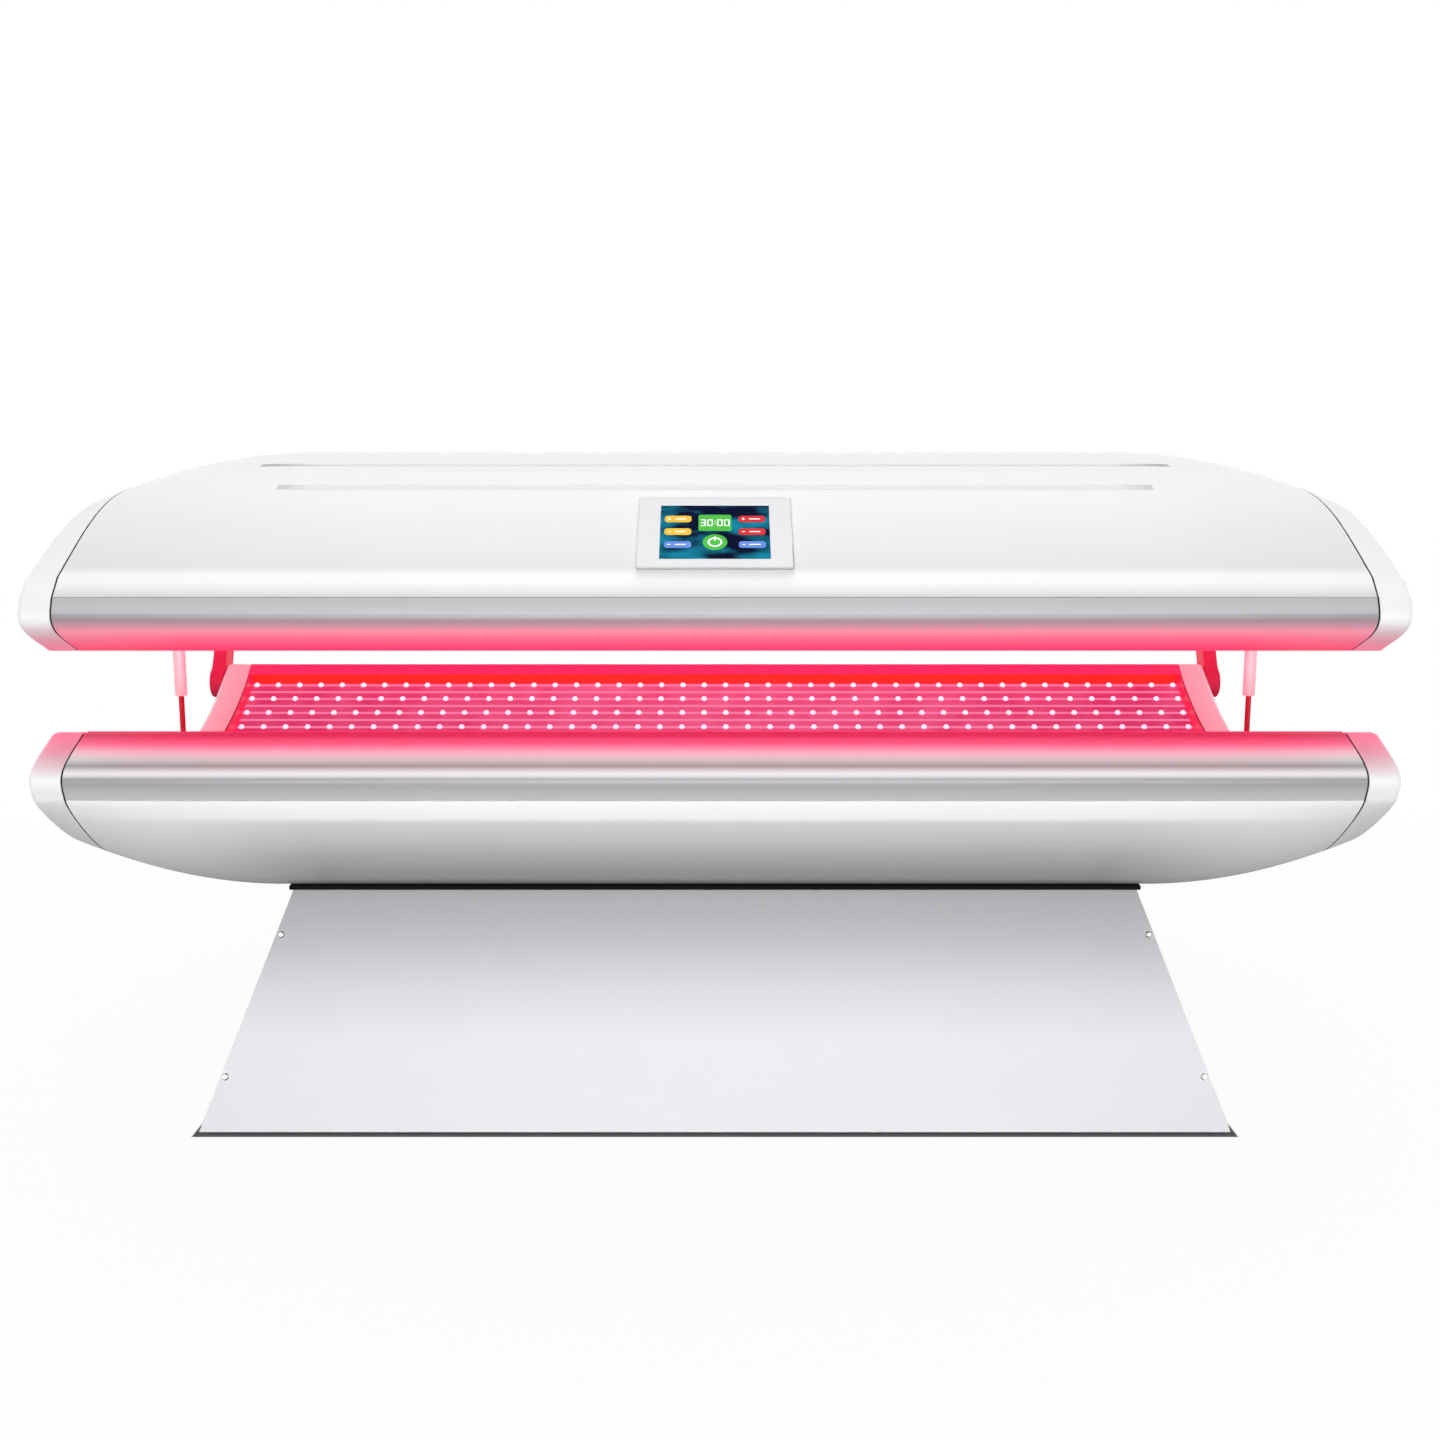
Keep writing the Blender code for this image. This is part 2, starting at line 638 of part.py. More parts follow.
def make_base():
    """Skirt, frame, feet and gasket."""
    slant = PANEL_WALL / cos(skirt_tilt()) + PANEL_GAP
    make_panel("base_front_panel", (0, -1), 0.0)
    rear = make_panel("base_rear_panel", (0, 1), 0.0)
    make_panel("base_left_panel", (-1, 0), slant)
    make_panel("base_right_panel", (1, 0), slant)
    combine(rear, cutter("vent_slots", vent_slots()), "DIFFERENCE")
    combine(rear, cutter("inlet_cutout", inlet_housing("inlet_cutout", CLEARANCE)), "DIFFERENCE")

    outer_x = BASE_TOP_LENGTH / 2 + GASKET_OVERHANG
    outer_y = BASE_TOP_DEPTH / 2 + GASKET_OVERHANG
    inner_x = outer_x - GASKET_WIDTH
    inner_y = outer_y - GASKET_WIDTH
    rectangles = [[(-x, -y), (x, -y), (x, y), (-x, y)] for x, y in ((outer_x, outer_y), (inner_x, inner_y))]
    place = Matrix.Translation((0, 0, GASKET_Z + GASKET_WALL / 2))
    add("hull_gasket", plate("hull_gasket", rectangles, GASKET_WALL, place), BLACK_RUBBER)
    make_frame()
    make_equipment()


def frame_half():
    """Half spacing of the frame's tube centres along X and Y."""
    return (BASE_TOP_LENGTH / 2 - FRAME_INSET - FRAME_TUBE / 2, BASE_TOP_DEPTH / 2 - FRAME_INSET - FRAME_TUBE / 2)


def make_frame():
    """A welded frame of square tube: four legs, an upper and a lower ring, one middle tube each."""
    half_x, half_y = frame_half()
    foot_z = FOOT_HEIGHT + CLEARANCE
    top_z = BASE_TOP_Z - PANEL_WALL - CLEARANCE
    tube = FRAME_TUBE
    leg = boxes("base_frame", [(tube, tube, top_z - foot_z)], [(-half_x, -half_y, (foot_z + top_z) / 2)])
    frame = add("base_frame", leg, FRAME_STEEL)
    tubes = [((tube, tube, top_z - foot_z), (x, y, (foot_z + top_z) / 2))
             for x, y in ((half_x, -half_y), (half_x, half_y), (-half_x, half_y))]
    for z in (foot_z + tube / 2, top_z - tube / 2):
        tubes += [((2 * half_x, tube, tube), (0, y, z)) for y in (-half_y, half_y)]
        tubes += [((tube, 2 * half_y, tube), (x, 0, z)) for x in (-half_x, 0, half_x)]
    for number, (size, centre) in enumerate(tubes):
        name = "frame_tube_%d" % number
        combine(frame, cutter(name, boxes(name, [size], [centre])), "UNION")
    for label, x, y in (("front_left", -1, -1), ("front_right", 1, -1), ("rear_left", -1, 1), ("rear_right", 1, 1)):
        nut_z = FOOT_HEIGHT - FOOT_NUT
        profile = [(0, FOOT_HEIGHT), (FOOT_NUT_RADIUS, FOOT_HEIGHT), (FOOT_NUT_RADIUS, nut_z),
                   (FOOT_STUD_RADIUS, nut_z), (FOOT_STUD_RADIUS, FOOT_PAD), (FOOT_RADIUS, FOOT_PAD * 0.6),
                   (FOOT_RADIUS, 0), (0, 0)]
        foot = turned("levelling_foot_" + label, profile, BLACK_RUBBER)
        foot.location = (x * half_x, y * half_y, 0)


def shelf_top():
    """Height of the equipment shelf's upper face."""
    return FOOT_HEIGHT + CLEARANCE + FRAME_TUBE + CLEARANCE + SHELF_WALL


def make_equipment():
    """Shelf with power supplies, control board and fans, and the mains inlet in the rear panel."""
    half_x, half_y = frame_half()
    depth = 2 * half_y + FRAME_TUBE
    shelf = boxes("equipment_shelf", [(SHELF_LENGTH, depth, SHELF_WALL)], [(0, 0, shelf_top() - SHELF_WALL / 2)])
    add("equipment_shelf", shelf, ZINC_STEEL)
    seat = shelf_top() + CLEARANCE
    for label, side in (("left", -1), ("right", 1)):
        make_supply("power_supply_" + label, side * SUPPLY_PITCH / 2 - SUPPLY_PITCH / 4, seat)
    make_control_board(seat)
    for label, side in (("left", -1), ("right", 1)):
        make_fan(label, side * FAN_PITCH / 2, seat + FAN_SIZE / 2)
    inlet = add("mains_inlet", inlet_housing("mains_inlet", 0.0), BLACK_PLASTIC)
    flange = boxes("inlet_flange", [INLET_FLANGE], [(0, CLEARANCE + INLET_FLANGE[1] / 2, 0)], inlet_frame())
    combine(inlet, cutter("inlet_flange", flange), "UNION")
    combine(inlet, cutter("inlet_socket", inlet_socket()), "DIFFERENCE")


def make_supply(name, x, seat):
    """A power supply: metal case with a lower terminal ledge at one end."""
    length, width, tall = SUPPLY_SIZE
    ledge = tall * 0.45
    case = boxes(name, [(length, width, tall)], [(x, SUPPLY_Y, seat + tall / 2)])
    part = add(name, case, TRAY_METAL)
    notch = boxes(name + "_notch", [(2 * SUPPLY_LEDGE, 2 * width, 2 * (tall - ledge))],
                  [(x + length / 2, SUPPLY_Y, seat + tall)])
    combine(part, cutter(name + "_notch", notch), "DIFFERENCE")
    return part


def make_control_board(seat):
    """The control board with its processor, relay block and connector strip."""
    length, width, wall = BOARD_SIZE
    base = boxes("control_board", [BOARD_SIZE], [(CONTROL_X, SUPPLY_Y, seat + wall / 2)])
    part = add("control_board", base, BOARD_GREEN)
    centres = [(CONTROL_X + x, SUPPLY_Y + y, seat + wall / 2 + size[2] / 2)
               for size, (x, y) in zip(CHIP_SIZES, CHIP_SPOTS)]
    combine(part, cutter("board_chips", boxes("board_chips", CHIP_SIZES, centres)), "UNION")
    return part


def along_y(centre):
    """Turns a shape drawn about Z to lie along Y at a centre."""
    return Matrix.Translation(centre) @ Matrix.Rotation(-pi / 2, 4, "X")


def disc(bm, radius, depth, place, sides=32):
    """A round bar about the axis of a placement."""
    bmesh.ops.create_cone(bm, cap_ends=True, segments=sides, radius1=radius, radius2=radius, depth=depth, matrix=place)


def make_fan(label, x, z):
    """An axial fan: square frame with a spider that holds the shaft, and a bladed rotor on it."""
    centre = Vector((x, FAN_Y, z))
    frame_name = "fan_frame_" + label
    frame = add(frame_name, boxes(frame_name, [(FAN_SIZE, FAN_DEPTH, FAN_SIZE)], [centre]), BLACK_PLASTIC)
    bm = bmesh.new()
    disc(bm, FAN_TUNNEL_RADIUS, 2 * FAN_DEPTH, along_y(centre), 40)
    combine(frame, cutter("fan_tunnel_" + label, mesh_from("fan_tunnel", bm)), "DIFFERENCE")
    spider_y = FAN_Y - FAN_DEPTH / 2 + FAN_BOSS_INSET + FAN_BOSS_WALL / 2
    reach = 2 * FAN_TUNNEL_RADIUS + FAN_SPIDER_WIDTH
    for number, turn in enumerate((pi / 4, -pi / 4)):
        place = Matrix.Translation((x, spider_y, z)) @ Matrix.Rotation(turn, 4, "Y")
        bar = boxes("fan_spider", [(reach, FAN_SPIDER_WALL, FAN_SPIDER_WIDTH)], [(0, 0, 0)], place)
        combine(frame, cutter("fan_spider_%s_%d" % (label, number), bar), "UNION")
    bm = bmesh.new()
    disc(bm, FAN_HUB_RADIUS, FAN_BOSS_WALL, along_y((x, spider_y, z)), 24)
    combine(frame, cutter("fan_boss_" + label, mesh_from("fan_boss", bm)), "UNION")
    hub_start = spider_y + FAN_BOSS_WALL / 2 + RUNNING_GAP
    shaft_length = hub_start + FAN_HUB_DEPTH + FAN_SHAFT_END - spider_y
    bm = bmesh.new()
    disc(bm, FAN_SHAFT_RADIUS, shaft_length, along_y((x, spider_y + shaft_length / 2, z)), 16)
    combine(frame, cutter("fan_shaft_" + label, mesh_from("fan_shaft", bm)), "UNION")

    rotor_y = hub_start + FAN_HUB_DEPTH / 2
    rotor_name = "fan_rotor_" + label
    bm = bmesh.new()
    disc(bm, FAN_HUB_RADIUS, FAN_HUB_DEPTH, along_y((0, 0, 0)), 28)
    rotor = add(rotor_name, mesh_from(rotor_name, bm), BLACK_PLASTIC)
    rotor.location = (x, rotor_y, z)
    bm = bmesh.new()
    inner = FAN_HUB_RADIUS * 0.8
    span = FAN_BLADE_RADIUS - inner
    for i in range(FAN_BLADE_COUNT):
        turn = Matrix.Rotation(2 * pi * i / FAN_BLADE_COUNT, 4, "Y")
        pitch = Matrix.Translation((inner + span / 2, 0, 0)) @ Matrix.Rotation(FAN_BLADE_PITCH, 4, "X")
        size = Matrix.Diagonal((span, FAN_BLADE_WALL, FAN_BLADE_CHORD, 1))
        bmesh.ops.create_cube(bm, size=1, matrix=turn @ pitch @ size)
    blades = cutter("fan_blades_" + label, mesh_from("fan_blades", bm))
    blades.location = rotor.location
    combine(rotor, blades, "UNION")
    bm = bmesh.new()
    disc(bm, FAN_SHAFT_RADIUS + RUNNING_GAP, 2 * FAN_HUB_DEPTH, along_y(rotor.location), 16)
    combine(rotor, cutter("fan_bore_" + label, mesh_from("fan_bore", bm)), "DIFFERENCE")


def vent_slots():
    """Two groups of slots in the rear panel, level with the fans."""
    middle = shelf_top() + CLEARANCE + FAN_SIZE / 2
    size = (SLOT_LENGTH, 0.1, SLOT_WIDTH)
    centres = []
    for side in (-1, 1):
        for i in range(SLOT_COUNT):
            z = middle + (i - (SLOT_COUNT - 1) / 2) * SLOT_PITCH
            centres.append((side * FAN_PITCH / 2, rear_panel_y(z), z))
    return boxes("vent_slots", [size] * len(centres), centres)


def inlet_frame():
    """Placement of the mains inlet, square to the rear panel with local Y pointing out."""
    return Matrix.Translation((INLET_X, rear_panel_y(INLET_Z), INLET_Z)) @ Matrix.Rotation(skirt_tilt(), 4, "X")


def inlet_housing(name, grow):
    """The inlet's housing through the rear panel, or with some growth the hole for it."""
    length, depth, tall = INLET_BODY
    size = (length + 2 * grow, depth, tall + 2 * grow)
    return boxes(name, [size], [(0, CLEARANCE + INLET_FLANGE[1] / 2 - depth / 2, 0)], inlet_frame())


def inlet_socket():
    """The recess that a mains lead's connector goes into."""
    depth = INLET_SOCKET[1]
    centre = (0, INLET_FLANGE[1] + CLEARANCE, 0)
    return boxes("inlet_socket", [(INLET_SOCKET[0], 2 * depth, INLET_SOCKET[2])], [centre], inlet_frame())


def make_half(label, half, parent=None):
    """Rails, end caps, tray, LED boards and acrylic of the tub or the canopy."""
    make_rail(label + "_front_rail", -1, half, parent)
    make_rail(label + "_rear_rail", 1, half, parent)
    caps = [make_end_cap("%s_%s_end_cap" % (label, name), side, half, parent)
            for name, side in (("left", -1), ("right", 1))]
    make_tray(label + "_tray", half, parent)
    for i in range(BOARD_COUNT):
        make_led_board("%s_led_board_%d" % (label, i + 1), i, half, parent)
    make_acrylic(label + "_acrylic", half, parent)
    return caps


def make_tub():
    """The lying tub: hull, formers and everything that shows along its rim."""
    make_shell("lower_shell", hull_front(SEAM_GAP), TUB, ())
    for label, side in (("left", -1), ("right", 1)):
        make_former("tray_former_" + label, side * FORMER_PITCH / 2)
    for side, cap in zip((-1, 1), make_half("lower", TUB)):
        bore = rod_mesh("pin_bore", PIN_RADIUS + CLEARANCE, (side * SEAM_X, HINGE_Y, HINGE_Z),
                        (side * (END_X + CAP_WIDTH), HINGE_Y, HINGE_Z))
        combine(cap, cutter("pin_bore_%d" % side, bore), "DIFFERENCE")


def make_bezel(pivot):
    """The raised control bezel with a flat face, seated on the curved slope, and its screen."""
    points = [p for p in canopy_slope(60) if BEZEL_FOOT_OUT <= p[1] <= BEZEL_TOP_OUT]
    foot, top = Vector(points[0]), Vector(points[-1])
    run = (top - foot).normalized()
    out = Vector((-run.y, run.x))
    seat = [Vector(p) + out * CLEARANCE for p in points[::4] + points[-1:]]
    face = [top + out * BEZEL_PROUD, foot + out * BEZEL_PROUD]
    drawn = [(p.x, height(p.y, CANOPY)) for p in seat + face]
    mesh = plate("control_bezel", [drawn], BEZEL_WIDTH, section_plane(0))
    bezel = add("control_bezel", mesh, WHITE_GLOSS, pivot)
    round_edges(bezel, BEZEL_EDGE)
    middle = (face[0] + face[1]) / 2
    lean = atan2(run.y, run.x)
    place = Matrix.Translation((0, middle.x, height(middle.y, CANOPY))) @ Matrix.Rotation(lean, 4, "X")
    depth = SCREEN_WALL + SCREEN_RECESS + CLEARANCE
    pocket = (SCREEN_WIDTH + 2 * CLEARANCE, SCREEN_HEIGHT + 2 * CLEARANCE, 2 * depth)
    combine(bezel, cutter("screen_pocket", boxes("screen_pocket", [pocket], [(0, 0, 0)], place)), "DIFFERENCE")
    glass = boxes("touch_screen", [(SCREEN_WIDTH, SCREEN_HEIGHT, SCREEN_WALL)],
                  [(0, 0, -SCREEN_RECESS - SCREEN_WALL / 2)], place)
    add("touch_screen", glass, SCREEN_GLASS, pivot)


def arm_outline():
    """Side view of a hinge arm: a lobe at the pin, a bowed shank, a round top end."""
    foot = Vector((HINGE_Y, HINGE_Z))
    top = Vector((ARM_TOP_Y, CANOPY_Z + ARM_TOP_OUT))
    bow = Vector((ARM_BOW, 0))
    centre = [Vector(p) for p in bezier(foot, foot + (top - foot) / 3 + bow, foot + (top - foot) * 2 / 3 + bow, top, 10)]
    left, right = [], []
    for i, point in enumerate(centre):
        ahead = centre[min(i + 1, len(centre) - 1)] - centre[max(i - 1, 0)]
        across = Vector((-ahead.y, ahead.x)).normalized()
        left.append(point + across * ARM_HALF_WIDTH)
        right.append(point - across * ARM_HALF_WIDTH)
    outline = [p for p in right if (p - foot).length > ARM_LOBE_RADIUS]
    turn = atan2(*(right[-1] - top).yx)
    outline += [top + ARM_HALF_WIDTH * Vector((cos(turn + pi * i / 8), sin(turn + pi * i / 8))) for i in range(1, 8)]
    rest = [p for p in reversed(left) if (p - foot).length > ARM_LOBE_RADIUS]
    outline += rest
    start = atan2(*(rest[-1] - foot).yx)
    sweep = (atan2(*(outline[0] - foot).yx) - start) % (2 * pi)
    outline += [foot + ARM_LOBE_RADIUS * Vector((cos(start + sweep * i / 16), sin(start + sweep * i / 16)))
                for i in range(1, 16)]
    return [(p.x, p.y) for p in outline]


def make_arm(label, side, pivot):
    """A hinge arm bolted to the canopy's end cap and turning on a shouldered pin in the tub."""
    inner_x = END_X + RUNNING_GAP
    bore = circle(HINGE_Y, HINGE_Z, PIN_RADIUS + CLEARANCE)
    name = "hinge_arm_" + label
    mesh = plate(name, [arm_outline(), bore], ARM_WALL, section_plane(side * (inner_x + ARM_WALL / 2)))
    arm = add(name, mesh, ARM_WHITE, pivot)
    round_edges(arm, ARM_EDGE, 1)
    head_x = inner_x + ARM_WALL + CLEARANCE
    profile = [(0, head_x + PIN_HEAD), (PIN_HEAD_RADIUS - PIN_HEAD / 2, head_x + PIN_HEAD),
               (PIN_HEAD_RADIUS, head_x + PIN_HEAD / 2), (PIN_HEAD_RADIUS, head_x),
               (PIN_RADIUS, head_x), (PIN_RADIUS, END_X - PIN_REACH), (0, END_X - PIN_REACH)]
    pin = turned("hinge_pin_" + label, profile, ZINC_STEEL)
    pin.location = (0, HINGE_Y, HINGE_Z)
    pin.rotation_euler = (0, side * pi / 2, 0)


def spring_end(half):
    """Pin centre of a gas spring at the tub or at the canopy."""
    angle = asin(SPRING_Y / BED_RADIUS)
    out = bed_point(BED_RADIUS, angle)[1] - SPRING_STANDOFF
    return Vector((0, SPRING_Y, height(out, half)))


def make_fork(name, side, half, parent=None):
    """A forked bracket seated on the end cap's arc, with the pin that a gas spring turns on."""
    end = spring_end(half)
    steps = 4
    seat_radius = BED_RADIUS * cos(BED_EDGE_ANGLE / ARC_STEPS) - CLEARANCE
    seat = []
    for i in range(steps + 1):
        y = SPRING_Y + FORK_HALF_WIDTH * (2 * i / steps - 1)
        seat.append((y, height(bed_point(seat_radius, asin(y / seat_radius))[1], half)))
    nose = []
    for i in range(9):
        turn = pi * i / 8
        nose.append((end.y + FORK_NOSE_RADIUS * cos(turn), end.z - half * FORK_NOSE_RADIUS * sin(turn)))
    mesh = plate(name, [seat + nose], FORK_WALL, section_plane(side * SPRING_X))
    fork = add(name, mesh, ZINC_STEEL, parent)
    open_z = end.z - half * EYE_RADIUS
    slot = boxes(name + "_slot", [(FORK_SLOT, 4 * FORK_HALF_WIDTH, 4 * EYE_RADIUS + 2 * RUNNING_GAP)],
                 [(side * SPRING_X, SPRING_Y, open_z)])
    combine(fork, cutter(name + "_slot", slot), "DIFFERENCE")
    reach = FORK_WALL / 2 - CAP_WALL
    pin = rod_mesh(name + "_pin", EYE_PIN_RADIUS, (side * SPRING_X - reach, end.y, end.z),
                   (side * SPRING_X + reach, end.y, end.z), 16)
    combine(fork, cutter(name + "_pin", pin), "UNION")
    return fork


def add_eye(part, centre):
    """Joins a flat eye to the end of a gas spring and bores it for the fork's pin."""
    x, y, z = centre
    eye = rod_mesh("eye", EYE_RADIUS, (x - EYE_WALL / 2, y, z), (x + EYE_WALL / 2, y, z))
    combine(part, cutter(part.name + "_eye", eye), "UNION")
    bore = rod_mesh("eye_bore", EYE_PIN_RADIUS + RUNNING_GAP, (x - EYE_WALL, y, z), (x + EYE_WALL, y, z), 16)
    combine(part, cutter(part.name + "_bore", bore), "DIFFERENCE")


def make_spring(label, side):
    """A gas spring: a rod pinned to the tub that slides in a tube pinned to the canopy."""
    foot = spring_end(TUB) + Vector((side * SPRING_X, 0, 0))
    head = spring_end(CANOPY) + Vector((side * SPRING_X, 0, 0))
    shoulder = -NECK_LENGTH - TUBE_SHOULDER
    reach = (head - foot).length + shoulder - TUBE_PLUG - ROD_END_GAP
    rod = turned("gas_spring_rod_" + label, [(0, reach), (ROD_RADIUS, reach), (ROD_RADIUS, 0), (0, 0)], CHROME_ROD)
    rod.location = foot
    add_eye(rod, foot)

    tube_name = "gas_spring_tube_" + label
    neck = TUBE_BORE_RADIUS - TUBE_SHOULDER
    mouth = -NECK_LENGTH - TUBE_LENGTH
    profile = [(0, 0), (neck, 0), (neck, -NECK_LENGTH), (TUBE_RADIUS, shoulder),
               (TUBE_RADIUS, mouth + TUBE_SHOULDER / 2), (TUBE_RADIUS - TUBE_SHOULDER / 4, mouth),
               (TUBE_BORE_RADIUS, mouth), (TUBE_BORE_RADIUS, shoulder - TUBE_PLUG), (0, shoulder - TUBE_PLUG)]
    tube = turned(tube_name, profile, WHITE_TUBE)
    tube.location = head
    add_eye(tube, head)


def make_canopy():
    """The canopy and its arms, carried by an empty on the hinge axis."""
    pivot = bpy.data.objects.new("canopy_pivot", None)
    pivot.location = (0, HINGE_Y, HINGE_Z)
    bed.objects.link(pivot)
    groove_ends = [x for _, length in GROOVES for x in (length / 2, length / 2 - GROOVE_RUNOUT)]
    make_shell("upper_shell", canopy_front(SEAM_GAP, GROOVES), CANOPY, groove_ends, pivot)
    make_half("upper", CANOPY, pivot)
    make_bezel(pivot)
    for label, side in (("left", -1), ("right", 1)):
        make_arm(label, side, pivot)
        make_fork("spring_fork_upper_" + label, side, CANOPY, pivot)
        make_fork("spring_fork_lower_" + label, side, TUB)
        make_spring(label, side)


make_base()
make_tub()
make_canopy()
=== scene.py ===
import json
from math import asin, atan2, cos, hypot, pi, radians, sin, tan

import bmesh
import bpy
from bmesh import ops
from mathutils import Matrix, Vector
from mathutils.geometry import interpolate_bezier


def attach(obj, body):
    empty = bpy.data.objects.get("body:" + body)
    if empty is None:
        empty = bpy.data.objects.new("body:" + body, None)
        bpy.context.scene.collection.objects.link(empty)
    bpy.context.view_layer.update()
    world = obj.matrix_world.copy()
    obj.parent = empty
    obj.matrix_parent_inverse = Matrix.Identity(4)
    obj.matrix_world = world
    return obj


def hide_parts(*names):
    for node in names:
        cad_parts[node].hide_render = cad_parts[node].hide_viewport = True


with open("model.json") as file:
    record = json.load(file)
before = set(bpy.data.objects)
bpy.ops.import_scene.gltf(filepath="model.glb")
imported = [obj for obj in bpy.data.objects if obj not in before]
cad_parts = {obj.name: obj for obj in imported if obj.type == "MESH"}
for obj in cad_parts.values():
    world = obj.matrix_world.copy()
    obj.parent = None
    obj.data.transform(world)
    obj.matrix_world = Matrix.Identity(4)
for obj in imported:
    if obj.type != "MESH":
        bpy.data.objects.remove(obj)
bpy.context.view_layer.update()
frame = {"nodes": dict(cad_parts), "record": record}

scene = bpy.context.scene
scene.view_settings.view_transform = "Standard"


# The camera stands square in front of the bed, at about the height of the canopy's crown, and
# looks slightly down through a standard lens, so that the bed fills the square frame.
CAMERA_PLACE = (0.0, -3.044, 1.106)
CAMERA_PITCH = radians(8.94)
studio_lens = bpy.data.cameras.new("studio_lens")
studio_lens.lens = 39.15
studio_lens.sensor_width = 36.0
studio_lens.shift_x = 0.0035
studio_camera = bpy.data.objects.new("studio_camera", studio_lens)
studio_camera.location = CAMERA_PLACE
studio_camera.rotation_euler = (pi / 2 - CAMERA_PITCH, 0.0, 0.0)
scene.collection.objects.link(studio_camera)
scene.camera = studio_camera


# The studio: a matt white paper floor that runs into a white backdrop, and five soft boxes round
# the bed. Camera, gloss and clear sheet see plain white, and the bed is lit by a soft level.
FLOOR_HALF = 14.0
PAPER_WHITE = "#FFFFFF"
PAPER_GREY = "#707070"
FLOOR_LIFT = 0.97
FLOOR_MIRRORED = 0.25
SHADED_HALF = (0.882, 0.541)
SHADED_EDGE = 0.003
FLOOR_NEAR, FLOOR_FAR = 1.0, 3.2
ROOM_LIGHT = 0.15


def linear(hex_colour):
    """Turns an sRGB hex colour to linear RGBA."""
    parts = [int(hex_colour[i:i + 2], 16) / 255.0 for i in (1, 3, 5)]
    return [c / 12.92 if c <= 0.04045 else ((c + 0.055) / 1.055) ** 2.4 for c in parts] + [1.0]


def add_node(tree, kind, inputs=None, **settings):
    """Adds a shader node, sets its properties, and fills inputs with values or (node, output) links."""
    made = tree.nodes.new("ShaderNode" + kind)
    for name, value in settings.items():
        setattr(made, name, value)
    for name, value in (inputs or {}).items():
        if isinstance(value, tuple) and isinstance(value[0], bpy.types.Node):
            tree.links.new(value[0].outputs[value[1]], made.inputs[name])
        else:
            made.inputs[name].default_value = value
    return made


def seen_rays(tree):
    """One for rays that show the backdrop: from the camera, off gloss, or through clear sheet."""
    path = add_node(tree, "LightPath")
    first = add_node(tree, "Math", {0: (path, "Is Camera Ray"), 1: (path, "Is Glossy Ray")},
                     operation="MAXIMUM")
    return add_node(tree, "Math", {0: (first, "Value"), 1: (path, "Is Transmission Ray")},
                    operation="MAXIMUM")


room = bpy.data.worlds.new("studio_room")
scene.world = room
room.use_nodes = True
tree = room.node_tree
tree.nodes.clear()
shown = add_node(tree, "MapRange", {"Value": (seen_rays(tree), "Value"), "To Min": ROOM_LIGHT,
                                    "To Max": 1.0})
glow = add_node(tree, "Background", {"Color": linear(PAPER_WHITE), "Strength": (shown, "Result")})
add_node(tree, "OutputWorld", {"Surface": (glow, "Background")})

# Matt paper: plain white to the eye, with a grey shade only in the gap under the base.
floor_paper = bpy.data.materials.new("matt_white_paper")
floor_paper.use_nodes = True
tree = floor_paper.node_tree
tree.nodes.clear()
matt = add_node(tree, "BsdfDiffuse", {"Color": linear(PAPER_GREY)})
white = add_node(tree, "Emission", {"Color": linear(PAPER_WHITE), "Strength": 1.0})
coords = add_node(tree, "TexCoord")
reach = add_node(tree, "VectorMath", {0: (coords, "Object")}, operation="LENGTH")
path = add_node(tree, "LightPath")
lift = add_node(tree, "MapRange", {"Value": (path, "Is Camera Ray"), "To Min": FLOOR_MIRRORED,
                                   "To Max": FLOOR_LIFT})
spot = add_node(tree, "VectorMath", {0: (coords, "Object")}, operation="ABSOLUTE")
past = add_node(tree, "VectorMath", {0: (spot, "Vector"), 1: (*SHADED_HALF, 0.0)}, operation="SUBTRACT")
axes = add_node(tree, "SeparateXYZ", {"Vector": (past, "Vector")})
edge = add_node(tree, "Math", {0: (axes, "X"), 1: (axes, "Y")}, operation="MAXIMUM")
clear = add_node(tree, "MapRange", {"Value": (edge, "Value"), "From Min": 0.0, "From Max": SHADED_EDGE,
                                    "To Min": 0.0, "To Max": (lift, "Result")})
fade = add_node(tree, "MapRange", {"Value": (reach, "Value"), "From Min": FLOOR_NEAR, "From Max": FLOOR_FAR,
                                   "To Min": (clear, "Result"), "To Max": 1.0})
share = add_node(tree, "Math", {0: (seen_rays(tree), "Value"), 1: (fade, "Result")}, operation="MULTIPLY")
mixed = add_node(tree, "MixShader", {0: (share, "Value"), 1: (matt, "BSDF"), 2: (white, "Emission")})
add_node(tree, "OutputMaterial", {"Surface": (mixed, "Shader")})
bm = bmesh.new()
ops.create_grid(bm, x_segments=1, y_segments=1, size=FLOOR_HALF)
mesh = bpy.data.meshes.new("studio_floor")
bm.to_mesh(mesh)
bm.free()
mesh.materials.append(floor_paper)
studio_floor = bpy.data.objects.new("studio_floor", mesh)
scene.collection.objects.link(studio_floor)

